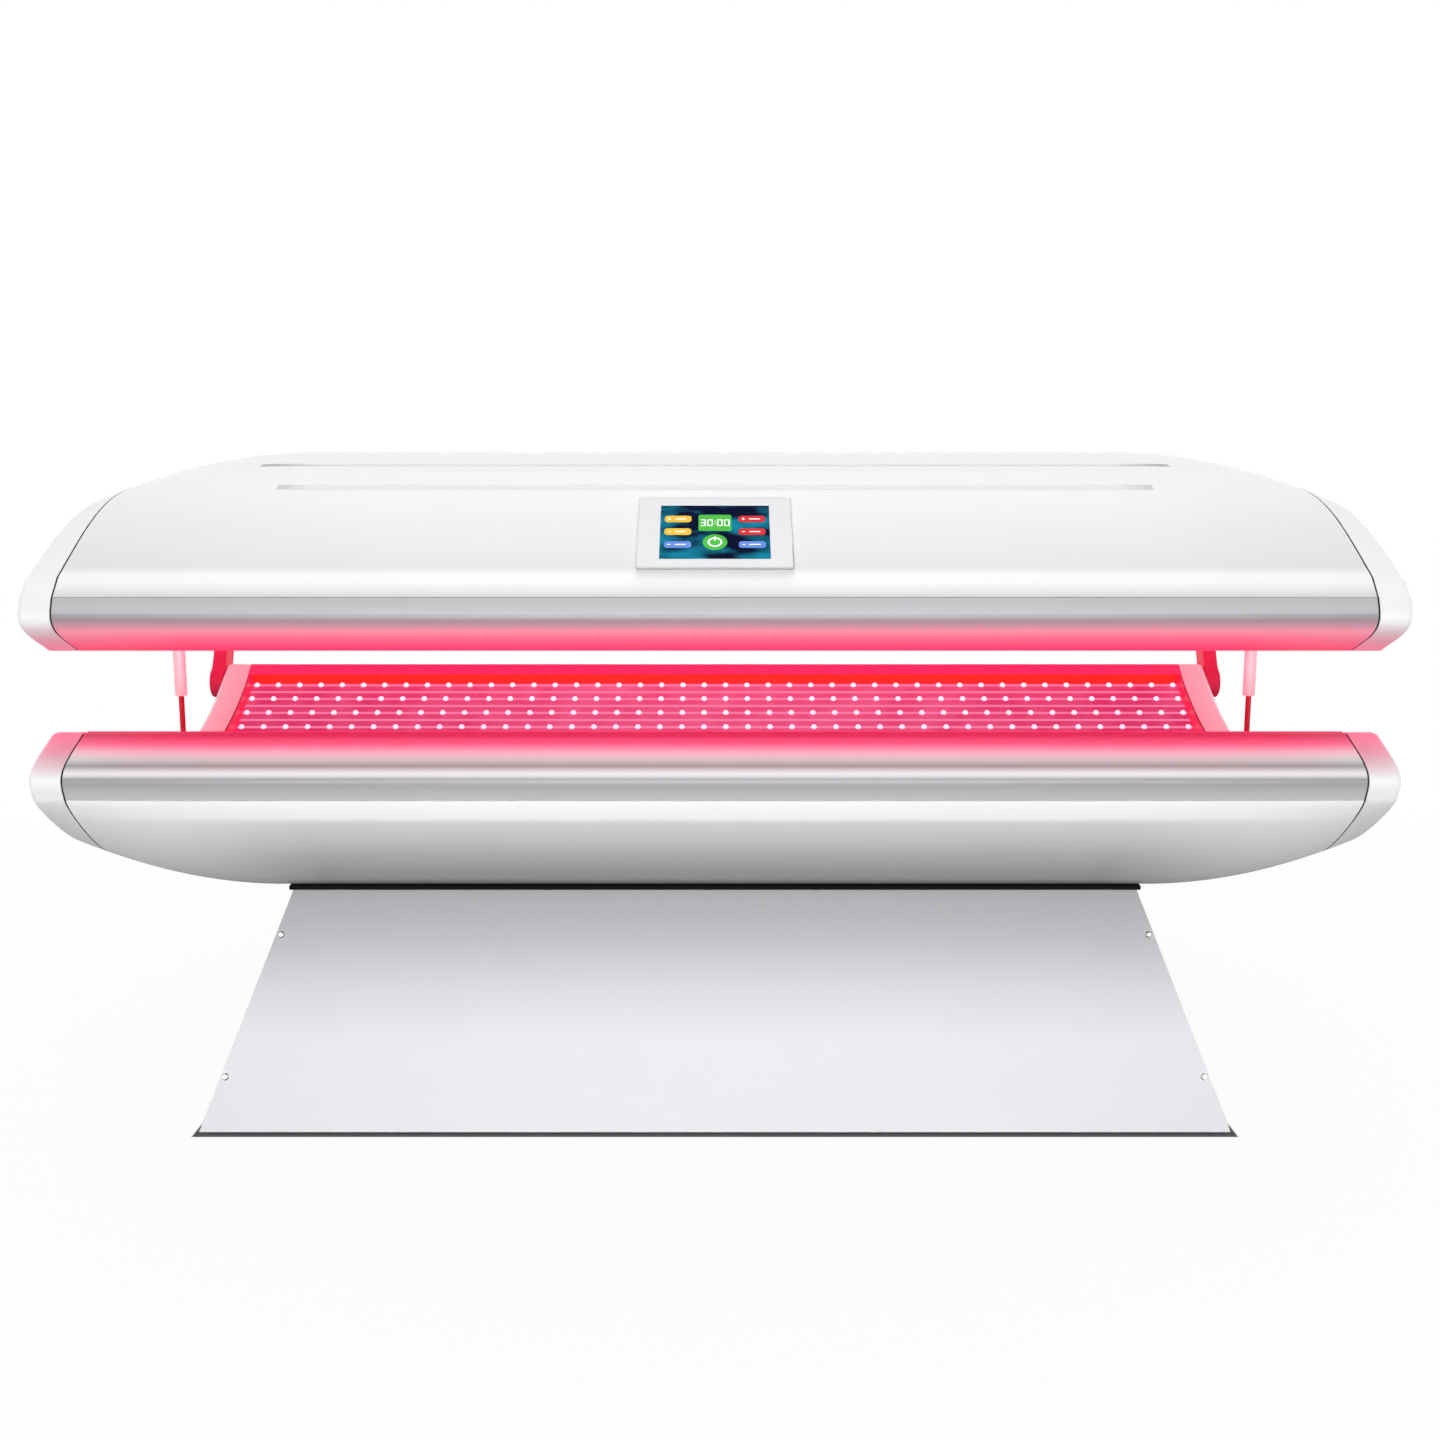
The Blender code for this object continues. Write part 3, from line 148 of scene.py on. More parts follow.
# Each soft box has its place, its aim, its size and its power. Only front and rear show in gloss.
for name, place, aim, size, watts in (
        ("top_softbox", (0.0, 1.8, 7.6), (0.0, 0.0, 0.9), (5.0, 4.0), 370.0),
        ("front_softbox", (0.0, -4.6, 0.85), (0.0, -0.3, 0.6), (4.4, 0.8), 185.0),
        ("rear_softbox", (0.0, 4.6, 1.0), (0.0, 0.3, 0.6), (4.4, 0.8), 75.0),
        ("left_softbox", (-5.6, 0.0, 1.2), (-1.1, 0.0, 0.6), (1.6, 1.2), 75.0),
        ("right_softbox", (5.6, 0.0, 1.2), (1.1, 0.0, 0.6), (1.6, 1.2), 75.0)):
    lamp = bpy.data.lights.new(name, "AREA")
    lamp.shape = "RECTANGLE"
    lamp.size, lamp.size_y = size
    lamp.energy = watts
    holder = bpy.data.objects.new(name, lamp)
    holder.location = place
    holder.rotation_euler = (Vector(aim) - Vector(place)).to_track_quat("-Z", "Y").to_euler()
    holder.visible_glossy = name in ("front_softbox", "rear_softbox")
    scene.collection.objects.link(holder)


# The hull of the tub: a deep white moulding of acrylic-capped ABS, drawn in a boat shape whose
# floor rises towards both ends. Its upper edge tucks under the rails with a shadow gap.
RIM_Z = 0.680
CANOPY_Z = 0.818
SEAM_HALF = 1.0462
END_HALF = 1.103
STRAIGHT_HALF = 0.750
END_STEPS = 22
SEAM_OUT = 0.094
SEAM_TURN = radians(17)
SEAM_POINT = (-0.571, SEAM_OUT)
SHADOW_GAP = 0.0018
HULL_DEPTH = 0.2794
HULL_LIFT = 0.080
HULL_STEPS = 26
SHOULDER_LEAD = 0.037
KEEL_HALF = 0.395
KEEL_LEAD = 0.046
KEEL_TURN = radians(14)
SHELL_WALL = 0.004
END_TURN = 0.670
CREASE = radians(35)
HAIR = 1e-6
ACRYLIC_IOR = 1.49


def surface(name, colour, roughness, **sockets):
    """Starts a material: its tree, its shader and the object coordinates that its patterns read."""
    made = bpy.data.materials.new(name)
    made.use_nodes = True
    tree = made.node_tree
    shader = tree.nodes["Principled BSDF"]
    values = {"Base Color": linear(colour), "Roughness": roughness, "Metallic": 0.0, "IOR": 1.5}
    values.update({socket.replace("_", " "): value for socket, value in sockets.items()})
    for socket, value in values.items():
        shader.inputs[socket].default_value = value
    return made, tree, shader, add_node(tree, "TexCoord")


def mottle(tree, shader, coords, patch_mm, colours, roughness, stretch=(1, 1, 1)):
    """Slight variation of colour and roughness in patches of a real size, drawn out where asked."""
    lay = add_node(tree, "Mapping", {"Vector": (coords, "Object"), "Scale": stretch})
    patches = add_node(tree, "TexNoise", {"Vector": (lay, "Vector"), "Scale": 1000.0 / patch_mm,
                                          "Detail": 4.0})
    tone = add_node(tree, "Mix", {0: (patches, "Fac"), 6: linear(colours[0]), 7: linear(colours[1])},
                    data_type="RGBA")
    tree.links.new(tone.outputs[2], shader.inputs["Base Color"])
    gloss = add_node(tree, "MapRange", {"Value": (patches, "Fac"), "To Min": roughness[0],
                                        "To Max": roughness[1]})
    tree.links.new(gloss.outputs["Result"], shader.inputs["Roughness"])


def relief(tree, shader, coords, grain_mm, depth_mm, strength):
    """Fine raised grain of a real size and depth."""
    grain = add_node(tree, "TexNoise", {"Vector": (coords, "Object"), "Scale": 1000.0 / grain_mm,
                                        "Detail": 2.0})
    bump = add_node(tree, "Bump", {"Height": (grain, "Fac"), "Distance": depth_mm / 1000.0,
                                   "Strength": strength})
    tree.links.new(bump.outputs["Normal"], shader.inputs["Normal"])


def paint_shade_by_height(tree, shader, coords, stops, end_shade_undone=0.0):
    """Paints shade into a finish by height: each stop is a height in metres and a share of the full colour.

    Towards the bed's ends, where a shell turns up to the light, part of the painted shade is taken off.
    """
    place = add_node(tree, "SeparateXYZ", {"Vector": (coords, "Object")})
    low, high = stops[0][0], stops[-1][0]
    share = add_node(tree, "MapRange", {"Value": (place, "Z"), "From Min": low, "From Max": high})
    ramp = add_node(tree, "ValToRGB", {"Fac": (share, "Result")})
    while len(ramp.color_ramp.elements) < len(stops):
        ramp.color_ramp.elements.new(1.0)
    for element, (height, tone) in zip(ramp.color_ramp.elements, stops):
        element.position, element.color = (height - low) / (high - low), (tone, tone, tone, 1.0)
    along = add_node(tree, "Math", {0: (place, "X")}, operation="ABSOLUTE")
    turned = add_node(tree, "MapRange", {"Value": (along, "Value"), "From Min": END_TURN,
                                         "From Max": END_HALF, "To Max": end_shade_undone})
    painted_shade = add_node(tree, "Mix", {0: (turned, "Result"), 6: (ramp, "Color"), 7: linear("#FFFFFF")},
                     data_type="RGBA")
    colour = shader.inputs["Base Color"].links[0].from_node
    shaded = add_node(tree, "Mix", {0: 1.0, 6: (colour, 2), 7: (painted_shade, 2)}, data_type="RGBA",
                      blend_type="MULTIPLY")
    tree.links.new(shaded.outputs[2], shader.inputs["Base Color"])


# Vacuum-formed ABS with a gloss acrylic cap: a white shoulder, painted a touch brighter than the
# canopy's sheet, and painted shade that falls to grey at the keel.
HULL_PAINTED_SHADE_STOPS = ((0.400, 0.30), (0.435, 0.36), (0.471, 0.46), (0.507, 0.61), (0.541, 0.73), (0.553, 1.0),
              (0.590, 1.0))
HULL_ABS_PAINTED_SHADE, *finish = surface("hull_capped_abs_painted_shade", "#FCFCFD", 0.24, IOR=ACRYLIC_IOR)
mottle(*finish, 180, ("#FAFAFC", "#FEFEFE"), (0.20, 0.28))
relief(*finish, grain_mm=6.0, depth_mm=0.05, strength=0.12)
paint_shade_by_height(*finish, HULL_PAINTED_SHADE_STOPS, end_shade_undone=1.0)


def level(out, half):
    """Height of a section point: the tub lies below its rim, the canopy above its own."""
    return RIM_Z - out if half == "lower" else CANOPY_Z + out


def bezier(start, lead, trail, end, steps):
    """Points of a cubic curve in the section, both ends included."""
    knots = [Vector((*p, 0.0)) for p in (start, lead, trail, end)]
    return [(p.x, p.y) for p in interpolate_bezier(*knots, steps + 1)]


def mirrored(front):
    """A whole section from its front half."""
    rear = [(-y, out) for y, out in reversed(front)]
    return front + (rear[1:] if abs(front[-1][0]) < HAIR else rear)


def end_factor(x, change, depth):
    """How much of the shell's depth is left towards the ends of the bed."""
    run = max(abs(x) - STRAIGHT_HALF, 0.0) / (END_HALF - STRAIGHT_HALF)
    return 1.0 - change * run ** 2 / (depth - SEAM_OUT)


def verts_of(geometry):
    """The vertices among the results of a bmesh operation."""
    return [g for g in geometry if isinstance(g, bmesh.types.BMVert)]


def draw_along(section, half, places, change=0.0, depth=1.0):
    """Extrudes a section along the bed through places on X, squeezing what lies past the seam."""
    bm = bmesh.new()
    marks = bm.verts.layers.int.new("past_seam")
    row = [bm.verts.new((places[0], y, level(out, half))) for y, out in section]
    past = [out > SEAM_OUT + HAIR for _, out in section]
    seam = Matrix.Translation((0.0, 0.0, -level(SEAM_OUT, half)))
    edges = [bm.edges.new(pair) for pair in zip(row, row[1:])]
    if change:
        squeeze = end_factor(places[0], change, depth)
        ops.scale(bm, vec=(1.0, 1.0, squeeze), space=seam, verts=[v for v, far in zip(row, past) if far])
    for vert, far in zip(row, past):
        vert[marks] = int(far)
    for here, there in zip(places, places[1:]):
        made = ops.extrude_edge_only(bm, edges=edges)["geom"]
        fresh = verts_of(made)
        kept = set(fresh)
        edges = [g for g in made if isinstance(g, bmesh.types.BMEdge) and set(g.verts) <= kept]
        ops.translate(bm, vec=(there - here, 0.0, 0.0), verts=fresh)
        if change:
            squeeze = end_factor(there, change, depth) / end_factor(here, change, depth)
            ops.scale(bm, vec=(1.0, 1.0, squeeze), space=seam, verts=[v for v in fresh if v[marks]])
    return bm


def face_away(bm, inside):
    """Turns a surface so that its faces point away from a place."""
    bm.normal_update()
    facing = sum((f.calc_center_median() - Vector(inside)).dot(f.normal) * f.calc_area() for f in bm.faces)
    if facing < 0:
        ops.reverse_faces(bm, faces=bm.faces)


def place_piece(name, bm, material, body, *nodes):
    """Makes a finished piece of a bmesh, sets it on its body and hides the solids it stands for."""
    mesh = bpy.data.meshes.new(name)
    bm.to_mesh(mesh)
    bm.free()
    mesh.shade_smooth()
    mesh.set_sharp_from_angle(angle=CREASE)
    mesh.materials.append(material)
    piece = bpy.data.objects.new(name, mesh)
    scene.collection.objects.link(piece)
    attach(piece, body)
    if nodes:
        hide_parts(*nodes)
    return piece


def thicken(bm, wall):
    """Gives an open sheet a wall, inwards from the face that shows."""
    ops.solidify(bm, geom=bm.faces[:], thickness=wall)
    ops.recalc_face_normals(bm, faces=bm.faces)


def seam_from(gap):
    """The shell's upper edge, a shadow gap away from the rail."""
    return (SEAM_POINT[0] + gap * sin(SEAM_TURN), SEAM_OUT + gap * cos(SEAM_TURN))


def hull_front(gap):
    """Front half of the hull's section, from under the rail to the flat floor."""
    start = seam_from(gap)
    lead = (start[0] + SHOULDER_LEAD * sin(SEAM_TURN), start[1] + SHOULDER_LEAD * cos(SEAM_TURN))
    trail = (-KEEL_HALF - KEEL_LEAD * cos(KEEL_TURN), HULL_DEPTH - KEEL_LEAD * sin(KEEL_TURN))
    return bezier(start, lead, trail, (-KEEL_HALF, HULL_DEPTH), HULL_STEPS)


end_places = [STRAIGHT_HALF + (SEAM_HALF - STRAIGHT_HALF) * i / END_STEPS for i in range(END_STEPS + 1)]
shell_places = [-x for x in reversed(end_places)] + end_places
bm = draw_along(mirrored(hull_front(SHADOW_GAP)), "lower", shell_places, HULL_LIFT, HULL_DEPTH)
face_away(bm, (0.0, 0.0, RIM_Z))
thicken(bm, SHELL_WALL)
place_piece("tub_hull", bm, HULL_ABS_PAINTED_SHADE, "base", "lower_shell")


# The canopy's shell, of the same white sheet: a leaning band above the rail, a long front slope
# and a flat crown, with two long pressed grooves on each side that stiffen it.
CANOPY_RISE = 0.329
CANOPY_DROP = 0.080
BAND_RISE = 0.041
BAND_TURN = radians(34)
SLOPE_TURN = radians(38)
SLOPE_LEAD = 0.240
CROWN_LEAD = 0.300
SLOPE_STEPS, SLOPE_STRIDE = 360, 12
GROOVE_LINES = ((0.360, 0.742), (0.267, 0.7945))
GROOVE_HALF = 0.0075
GROOVE_SINK = 0.0045
GROOVE_END = 0.012
GROOVE_END_STEPS = 4
GROOVE_MARGIN = 1.2
GROOVE_FADE = 0.690

# The capped sheet again, with painted shade: a painted shadow line at the band's foot by the rail,
# white on the band, a touch greyer at the slope's foot, white at the crown.
SHELL_PAINTED_SHADE_STOPS = ((0.912, 0.60), (0.917, 0.74), (0.927, 0.88), (0.936, 0.96), (0.947, 0.97), (0.958, 0.80),
               (0.992, 0.85), (1.018, 0.88), (1.043, 0.92), (1.069, 0.96), (1.100, 1.0))
SHELL_ABS_PAINTED_SHADE, *finish = surface("canopy_capped_abs_painted_shade", "#F6F6F8", 0.24, IOR=ACRYLIC_IOR)
mottle(*finish, 180, ("#F4F4F6", "#F8F8FA"), (0.20, 0.28))
relief(*finish, grain_mm=6.0, depth_mm=0.05, strength=0.12)
paint_shade_by_height(*finish, SHELL_PAINTED_SHADE_STOPS)

# The sheet in the grooves: painted shade, a greyer line along each groove, darkest at its ends.
GROOVE_PAINTED_SHADE, tree, shader, coords = surface("capped_abs_painted_groove_shade", "#E4E4E7", 0.30, IOR=ACRYLIC_IOR)
mottle(tree, shader, coords, 120, ("#E1E1E4", "#E7E7EA"), (0.26, 0.36))
place = add_node(tree, "SeparateXYZ", {"Vector": (coords, "Object")})
along = add_node(tree, "Math", {0: (place, "X")}, operation="ABSOLUTE")
groove_end_shade = add_node(tree, "MapRange", {"Value": (along, "Value"), "From Min": GROOVE_FADE,
                                      "From Max": GROOVE_LINES[1][1]})
plain = shader.inputs["Base Color"].links[0].from_node
groove_shade = add_node(tree, "Mix", {0: (groove_end_shade, "Result"), 6: (plain, 2), 7: linear("#A8A8AC")},
                 data_type="RGBA")
tree.links.new(groove_shade.outputs[2], shader.inputs["Base Color"])


def canopy_slope(steps):
    """The slope from the top of the leaning band to the crown."""
    bend = (SEAM_POINT[0] + BAND_RISE * tan(BAND_TURN), SEAM_OUT + BAND_RISE)
    lead = (bend[0] + SLOPE_LEAD * cos(SLOPE_TURN), bend[1] + SLOPE_LEAD * sin(SLOPE_TURN))
    return bezier(bend, lead, (-CROWN_LEAD, CANOPY_RISE), (0.0, CANOPY_RISE), steps)


def canopy_front(gap, fine):
    """Front half of the canopy's section: band, slope and crown, with close points at the grooves."""
    kept = [p for i, p in enumerate(canopy_slope(SLOPE_STEPS)) if i % SLOPE_STRIDE == 0 or
            (fine and any(abs(p[0] + y) < GROOVE_MARGIN * GROOVE_HALF for y, _ in GROOVE_LINES))]
    return [seam_from(gap)] + kept


groove_ends = [reach - GROOVE_END * i / GROOVE_END_STEPS
               for _, reach in GROOVE_LINES for i in range(GROOVE_END_STEPS + 1)]
canopy_places = sorted(set(shell_places) | set(groove_ends) | {-x for x in groove_ends})
bm = draw_along(mirrored(canopy_front(SHADOW_GAP, True)), "upper", canopy_places, CANOPY_DROP, CANOPY_RISE)
for vert in bm.verts:
    for groove_y, reach in GROOVE_LINES:
        past_end = max(abs(vert.co.x) - reach + GROOVE_END, 0.0) / GROOVE_END
        away = hypot(past_end, (abs(vert.co.y) - groove_y) / GROOVE_HALF)
        if away < 1.0:
            vert.co.z -= GROOVE_SINK * (0.5 + 0.5 * cos(pi * away))
for face in bm.faces:
    middle = face.calc_center_median()
    face.material_index = int(any(abs(abs(middle.y) - groove_y) < GROOVE_HALF and abs(middle.x) < reach
                                  for groove_y, reach in GROOVE_LINES))
face_away(bm, (0.0, 0.0, CANOPY_Z))
thicken(bm, SHELL_WALL)
canopy_shell = place_piece("canopy_shell", bm, SHELL_ABS_PAINTED_SHADE, "canopy", "upper_shell")
canopy_shell.data.materials.append(GROOVE_PAINTED_SHADE)


# The rails: four aluminium extrusions that run along both rims, satin anodised. The sloping lip
# mirrors the lit acrylic and the rounded nose catches a soft light along its whole length, partly in
# real light and partly as painted glow, painted shade and a painted highlight in their colour.
RAIL_WALL = 0.0035
RAIL_WEB = 0.078
RAIL_CORE = (0.53, 0.047)
RIM_HALF = 0.480
LIP = 0.014
LIP_LEAD = 0.050
LIP_TURN = radians(25)
LIP_STEPS = 20
NOSE_HALF = 0.580
NOSE_OUT = 0.064
NOSE_LEAD = 0.028
UNDER_LEAD = 0.012
UNDER_STEPS = 9
SEAM_LEAD = 0.010
BED_SAG = 0.157
BED_CHORD = RIM_HALF - LIP
BED_RADIUS = (BED_CHORD ** 2 + BED_SAG ** 2) / (2.0 * BED_SAG)
BED_CENTRE = BED_SAG - BED_RADIUS
BED_EDGE = asin(BED_CHORD / BED_RADIUS)


def paint_rim_glow(tree, shader, coords, reach, stops):
    """Paints the LEDs' light onto a piece, fading away from its rim: each stop is a share of the reach, a
    colour with the painted light and a painted glow.
    """
    place = add_node(tree, "SeparateXYZ", {"Vector": (coords, "Object")})
    below = add_node(tree, "Math", {0: RIM_Z, 1: (place, "Z")}, operation="SUBTRACT")
    above = add_node(tree, "Math", {0: (place, "Z"), 1: CANOPY_Z}, operation="SUBTRACT")
    away = add_node(tree, "Math", {0: (below, "Value"), 1: (above, "Value")}, operation="MAXIMUM")
    share = add_node(tree, "MapRange", {"Value": (away, "Value"), "From Max": reach})
    for socket, column in (("Base Color", 1), ("Emission Color", 2)):
        ramp = add_node(tree, "ValToRGB", {"Fac": (share, "Result")})
        while len(ramp.color_ramp.elements) < len(stops):
            ramp.color_ramp.elements.new(1.0)
        for element, stop in zip(ramp.color_ramp.elements, stops):
            element.position, element.color = stop[0], linear(stop[column])
        tree.links.new(ramp.outputs["Color"], shader.inputs[socket])
    shader.inputs["Emission Strength"].default_value = 1.0


# Satin anodising: a soft grey sheen with slow changes along the bar, with a painted pink glow at the rim,
# then painted bands of shade and a painted highlight line down the nose.
RAIL_PAINTED_GLOW_STOPS = {
    "lower": ((0.03, "#DC3C6C", "#500818"), (0.136, "#F484B1", "#7C0408"), (0.236, "#F0C8D4", "#745E68"),
              (0.282, "#C8B8BE", "#988A90"), (0.337, "#B8BDBD", "#7E8784"), (0.42, "#A4AAAC", "#202828"),
              (0.47, "#D4D8DA", "#101010"), (0.52, "#F0F0F2", "#000000"), (0.56, "#E0E0E2", "#000000"),
              (0.62, "#868689", "#000000"), (0.70, "#8E8E91", "#000000"), (0.80, "#B4B4B7", "#000000"),
              (0.92, "#C4C4C7", "#000000")),
    "upper": ((0.06, "#E8507C", "#A01838"), (0.251, "#EC8EAB", "#900430"), (0.419, "#E1A8BA", "#9C3545"),
              (0.565, "#B498A6", "#5F0000"), (0.637, "#96848A", "#000000"), (0.709, "#828085", "#000000"),
              (0.77, "#ADADB0", "#000000"), (0.835, "#B8B8BB", "#000000"), (0.97, "#B3B3B6", "#000000"))}
RAIL_METAL_PAINTED_GLOW = {}
for half, painted_glow in RAIL_PAINTED_GLOW_STOPS.items():
    RAIL_METAL_PAINTED_GLOW[half], *finish = surface("anodised_aluminium_painted_glow_" + half, "#B8B8BB", 0.46, Metallic=0.25)
    mottle(*finish, 60, ("#B4B4B7", "#BCBCBF"), (0.43, 0.49), stretch=(0.05, 1.0, 1.0))
    paint_rim_glow(*finish, SEAM_OUT, painted_glow)


def bed_point(radius, angle):
    """A section point in polar terms about the centre of the lying arc."""
    return (radius * sin(angle), BED_CENTRE + radius * cos(angle))


def rail_front():
    """Outer face of a rail: rim edge, sloping lip, rounded nose, seam."""
    nose = (-NOSE_HALF, NOSE_OUT)
    rim_lead = (-RIM_HALF - LIP_LEAD * cos(LIP_TURN), LIP_LEAD * sin(LIP_TURN))
    slope = bezier((-RIM_HALF, 0.0), rim_lead, (-NOSE_HALF, NOSE_OUT - NOSE_LEAD), nose, LIP_STEPS)
    seam_lead = (SEAM_POINT[0] - SEAM_LEAD * sin(SEAM_TURN), SEAM_POINT[1] - SEAM_LEAD * cos(SEAM_TURN))
    under = bezier(nose, (-NOSE_HALF, NOSE_OUT + UNDER_LEAD), seam_lead, SEAM_POINT, UNDER_STEPS)
    return slope + under[1:]


for half, body in (("lower", "base"), ("upper", "canopy")):
    for label, side in (("front", 1.0), ("rear", -1.0)):
        rail = "%s_%s_rail" % (half, label)
        path = [bed_point(BED_RADIUS + RAIL_WEB, -BED_EDGE), (-BED_CHORD, 0.0)] + rail_front()
        bm = draw_along([(side * y, out) for y, out in path], half, (-SEAM_HALF, SEAM_HALF))
        face_away(bm, (0.0, -side * RAIL_CORE[0], level(RAIL_CORE[1], half)))
        thicken(bm, RAIL_WALL)
        place_piece(rail + "_profile", bm, RAIL_METAL_PAINTED_GLOW[half], body, rail)


# The end caps: hollow white mouldings that carry the lying arc, the rail's nose and the shell
# round each end, with a well rounded outer edge. A rubber seal fills the joint inside each.
CAP_START = 1.0494
CAP_WALL = 0.004
CAP_SPANS = 4
CAP_ROUND = 0.010
CAP_INSET = 0.003
CAP_GLOW_REACH = 0.070
ARC_STEPS = 40
ARC_BAND = 0.0015
LID_LEAN = 0.2
SEAL_SINK = 0.0010
SEAL_WALL = 0.0012

# Moulded ABS with a soft gloss: white with a fine grain, and the LEDs' light painted on as a pink glow
# towards the rim.
CAP_PAINTED_GLOW_STOPS = ((0.0, "#F4809E", "#8C2848"), (0.25, "#F6A4B8", "#64203A"), (0.50, "#F4D8E0", "#2A1018"),
             (0.80, "#F0F0F2", "#000000"))
CAP_ABS_PAINTED_GLOW, *finish = surface("moulded_abs_soft_gloss_painted_glow", "#F0F0F2", 0.30)
mottle(*finish, 90, ("#EEEEF0", "#F3F3F5"), (0.27, 0.36))
relief(*finish, grain_mm=2.2, depth_mm=0.04, strength=0.14)
paint_rim_glow(*finish, CAP_GLOW_REACH, CAP_PAINTED_GLOW_STOPS)

# The same moulding where it lines the lying arc: the LEDs' light painted on as an even pale pink glow.
CAP_ABS_PAINTED_PINK_GLOW, *finish = surface("moulded_abs_painted_pink_glow", "#FFB4C0", 0.34, Emission_Color=linear("#FF8496"),
                            Emission_Strength=0.45)
mottle(*finish, 70, ("#FCAEBA", "#FFBAC6"), (0.30, 0.40))

# Silicone in the joint: a dull dark grey line between the cap and the shell.
SEAL_BLACK, *finish = surface("grey_silicone_seal", "#141416", 0.70)
mottle(*finish, 8, ("#101012", "#18181A"), (0.65, 0.80))


def lying_arc(radius, edge, steps):
    """Points along the lying arc, from one edge angle to its opposite."""
    return [bed_point(radius, edge * (2.0 * i / steps - 1.0)) for i in range(steps + 1)]


def squeezed(section, x, change, depth):
    """A section with what lies past the seam drawn in, as the shell is at a place on X."""
    squeeze = end_factor(x, change, depth)
    return [(y, SEAM_OUT + (out - SEAM_OUT) * squeeze if out > SEAM_OUT else out) for y, out in section]


def end_plate(bm):
    """The flat plate that closes a cap: the face with the most corners."""
    return max(bm.faces, key=lambda f: len(f.verts))


for half, body, change, depth in (("lower", "base", HULL_LIFT, HULL_DEPTH),
                                  ("upper", "canopy", CANOPY_DROP, CANOPY_RISE)):
    shell = hull_front(0.0) if half == "lower" else canopy_front(0.0, False)
    outside = mirrored(rail_front() + shell[1:])
    arc = lying_arc(BED_RADIUS, -BED_EDGE, ARC_STEPS)
    for label, side in (("left", -1.0), ("right", 1.0)):
        end = "%s_%s" % (half, label)
        bm = bmesh.new()
        rows = []
        for i in range(CAP_SPANS + 1):
            x = side * (CAP_START + (END_HALF - CAP_START) * i / CAP_SPANS)
            ring = squeezed(outside, x, change, depth) + arc
            rows.append([bm.verts.new((x, y, level(out, half))) for y, out in ring])
        loops = [[bm.edges.new(pair) for pair in zip(row, row[1:] + row[:1])] for row in rows]
        for near, far in zip(loops, loops[1:]):
            ops.bridge_loops(bm, edges=near + far)
        ops.contextual_create(bm, geom=loops[-1])
        ops.recalc_face_normals(bm, faces=bm.faces)
        if end_plate(bm).normal.x * side < 0:
            ops.reverse_faces(bm, faces=bm.faces)
        ops.bevel(bm, geom=list(end_plate(bm).edges), offset=CAP_ROUND, segments=5, profile=0.5,
                  affect="EDGES", material=-1)
        ops.inset_region(bm, faces=[end_plate(bm)], thickness=CAP_INSET)
        for face in bm.faces:
            middle = face.calc_center_median()
            out = RIM_Z - middle.z if half == "lower" else middle.z - CANOPY_Z
            on_arc = abs(hypot(middle.y, out - BED_CENTRE) - BED_RADIUS) < ARC_BAND
            face.material_index = int(on_arc and abs(face.normal.x) < LID_LEAN)
        thicken(bm, CAP_WALL)
        cap = place_piece(end + "_cap_moulding", bm, CAP_ABS_PAINTED_GLOW, body, end + "_end_cap")
        cap.data.materials.append(CAP_ABS_PAINTED_PINK_GLOW)
        ring = squeezed(outside, SEAM_HALF, change, depth)
        bm = draw_along(ring, half, (side * SEAM_HALF, side * CAP_START))
        face_away(bm, (side * SEAM_HALF, 0.0, level(0.0, half)))
        bm.normal_update()
        for vert in bm.verts:
            vert.co -= vert.normal * SEAL_SINK
        thicken(bm, SEAL_WALL)
        seal = place_piece(end + "_cap_seal", bm, SEAL_BLACK, body)
        # The seal along the arc takes the same painted pink glow.
        bm = draw_along(arc, half, (side * SEAM_HALF, side * CAP_START))
        face_away(bm, (0.0, 0.0, level(BED_RADIUS, half)))
        thicken(bm, SEAL_WALL)
        arc_seal = place_piece(end + "_arc_seal", bm, CAP_ABS_PAINTED_PINK_GLOW, body)


# The LED boards: five long printed boards in each half, screwed to a folded tray. The LEDs' light
# on their red mask and on the reflector sheets that close the lit space at its sides and ends is
# painted in as a glow.
BOARD_COUNT = 5
BOARD_HALF = 1.0440
BOARD_RISE = 0.0053
BOARD_WALL = 0.003
BOARD_GAP = 0.012
BLOTCH_MM = 71.43
LED_DEPTH = 0.045
LED_RADIUS = 0.0064
LENS_CUT = 0.1
SPARKLE_MM = 16.667
ROWS = 4
ROW_PITCH = 0.0500
COLUMNS = 44
COLUMN_PITCH = 0.0481
STRIP_PITCH = ROW_PITCH / 2
ACRYLIC_WALL = 0.005
FIT_GAP = 0.0003
FIT_EDGE = BED_EDGE - FIT_GAP / BED_RADIUS
WALL_GAP = 0.002
WALL_TALL = 0.030
WALL_INSET = 0.0035
WALL_LEAN = 0.026
WALL_THICK = 0.0008
END_WALL_X = 1.0452
END_WALL_FIT = 0.995
SHEET_GAP, TRAY_GAP = 0.0006, 0.0012
FAR_OFF = 2.0

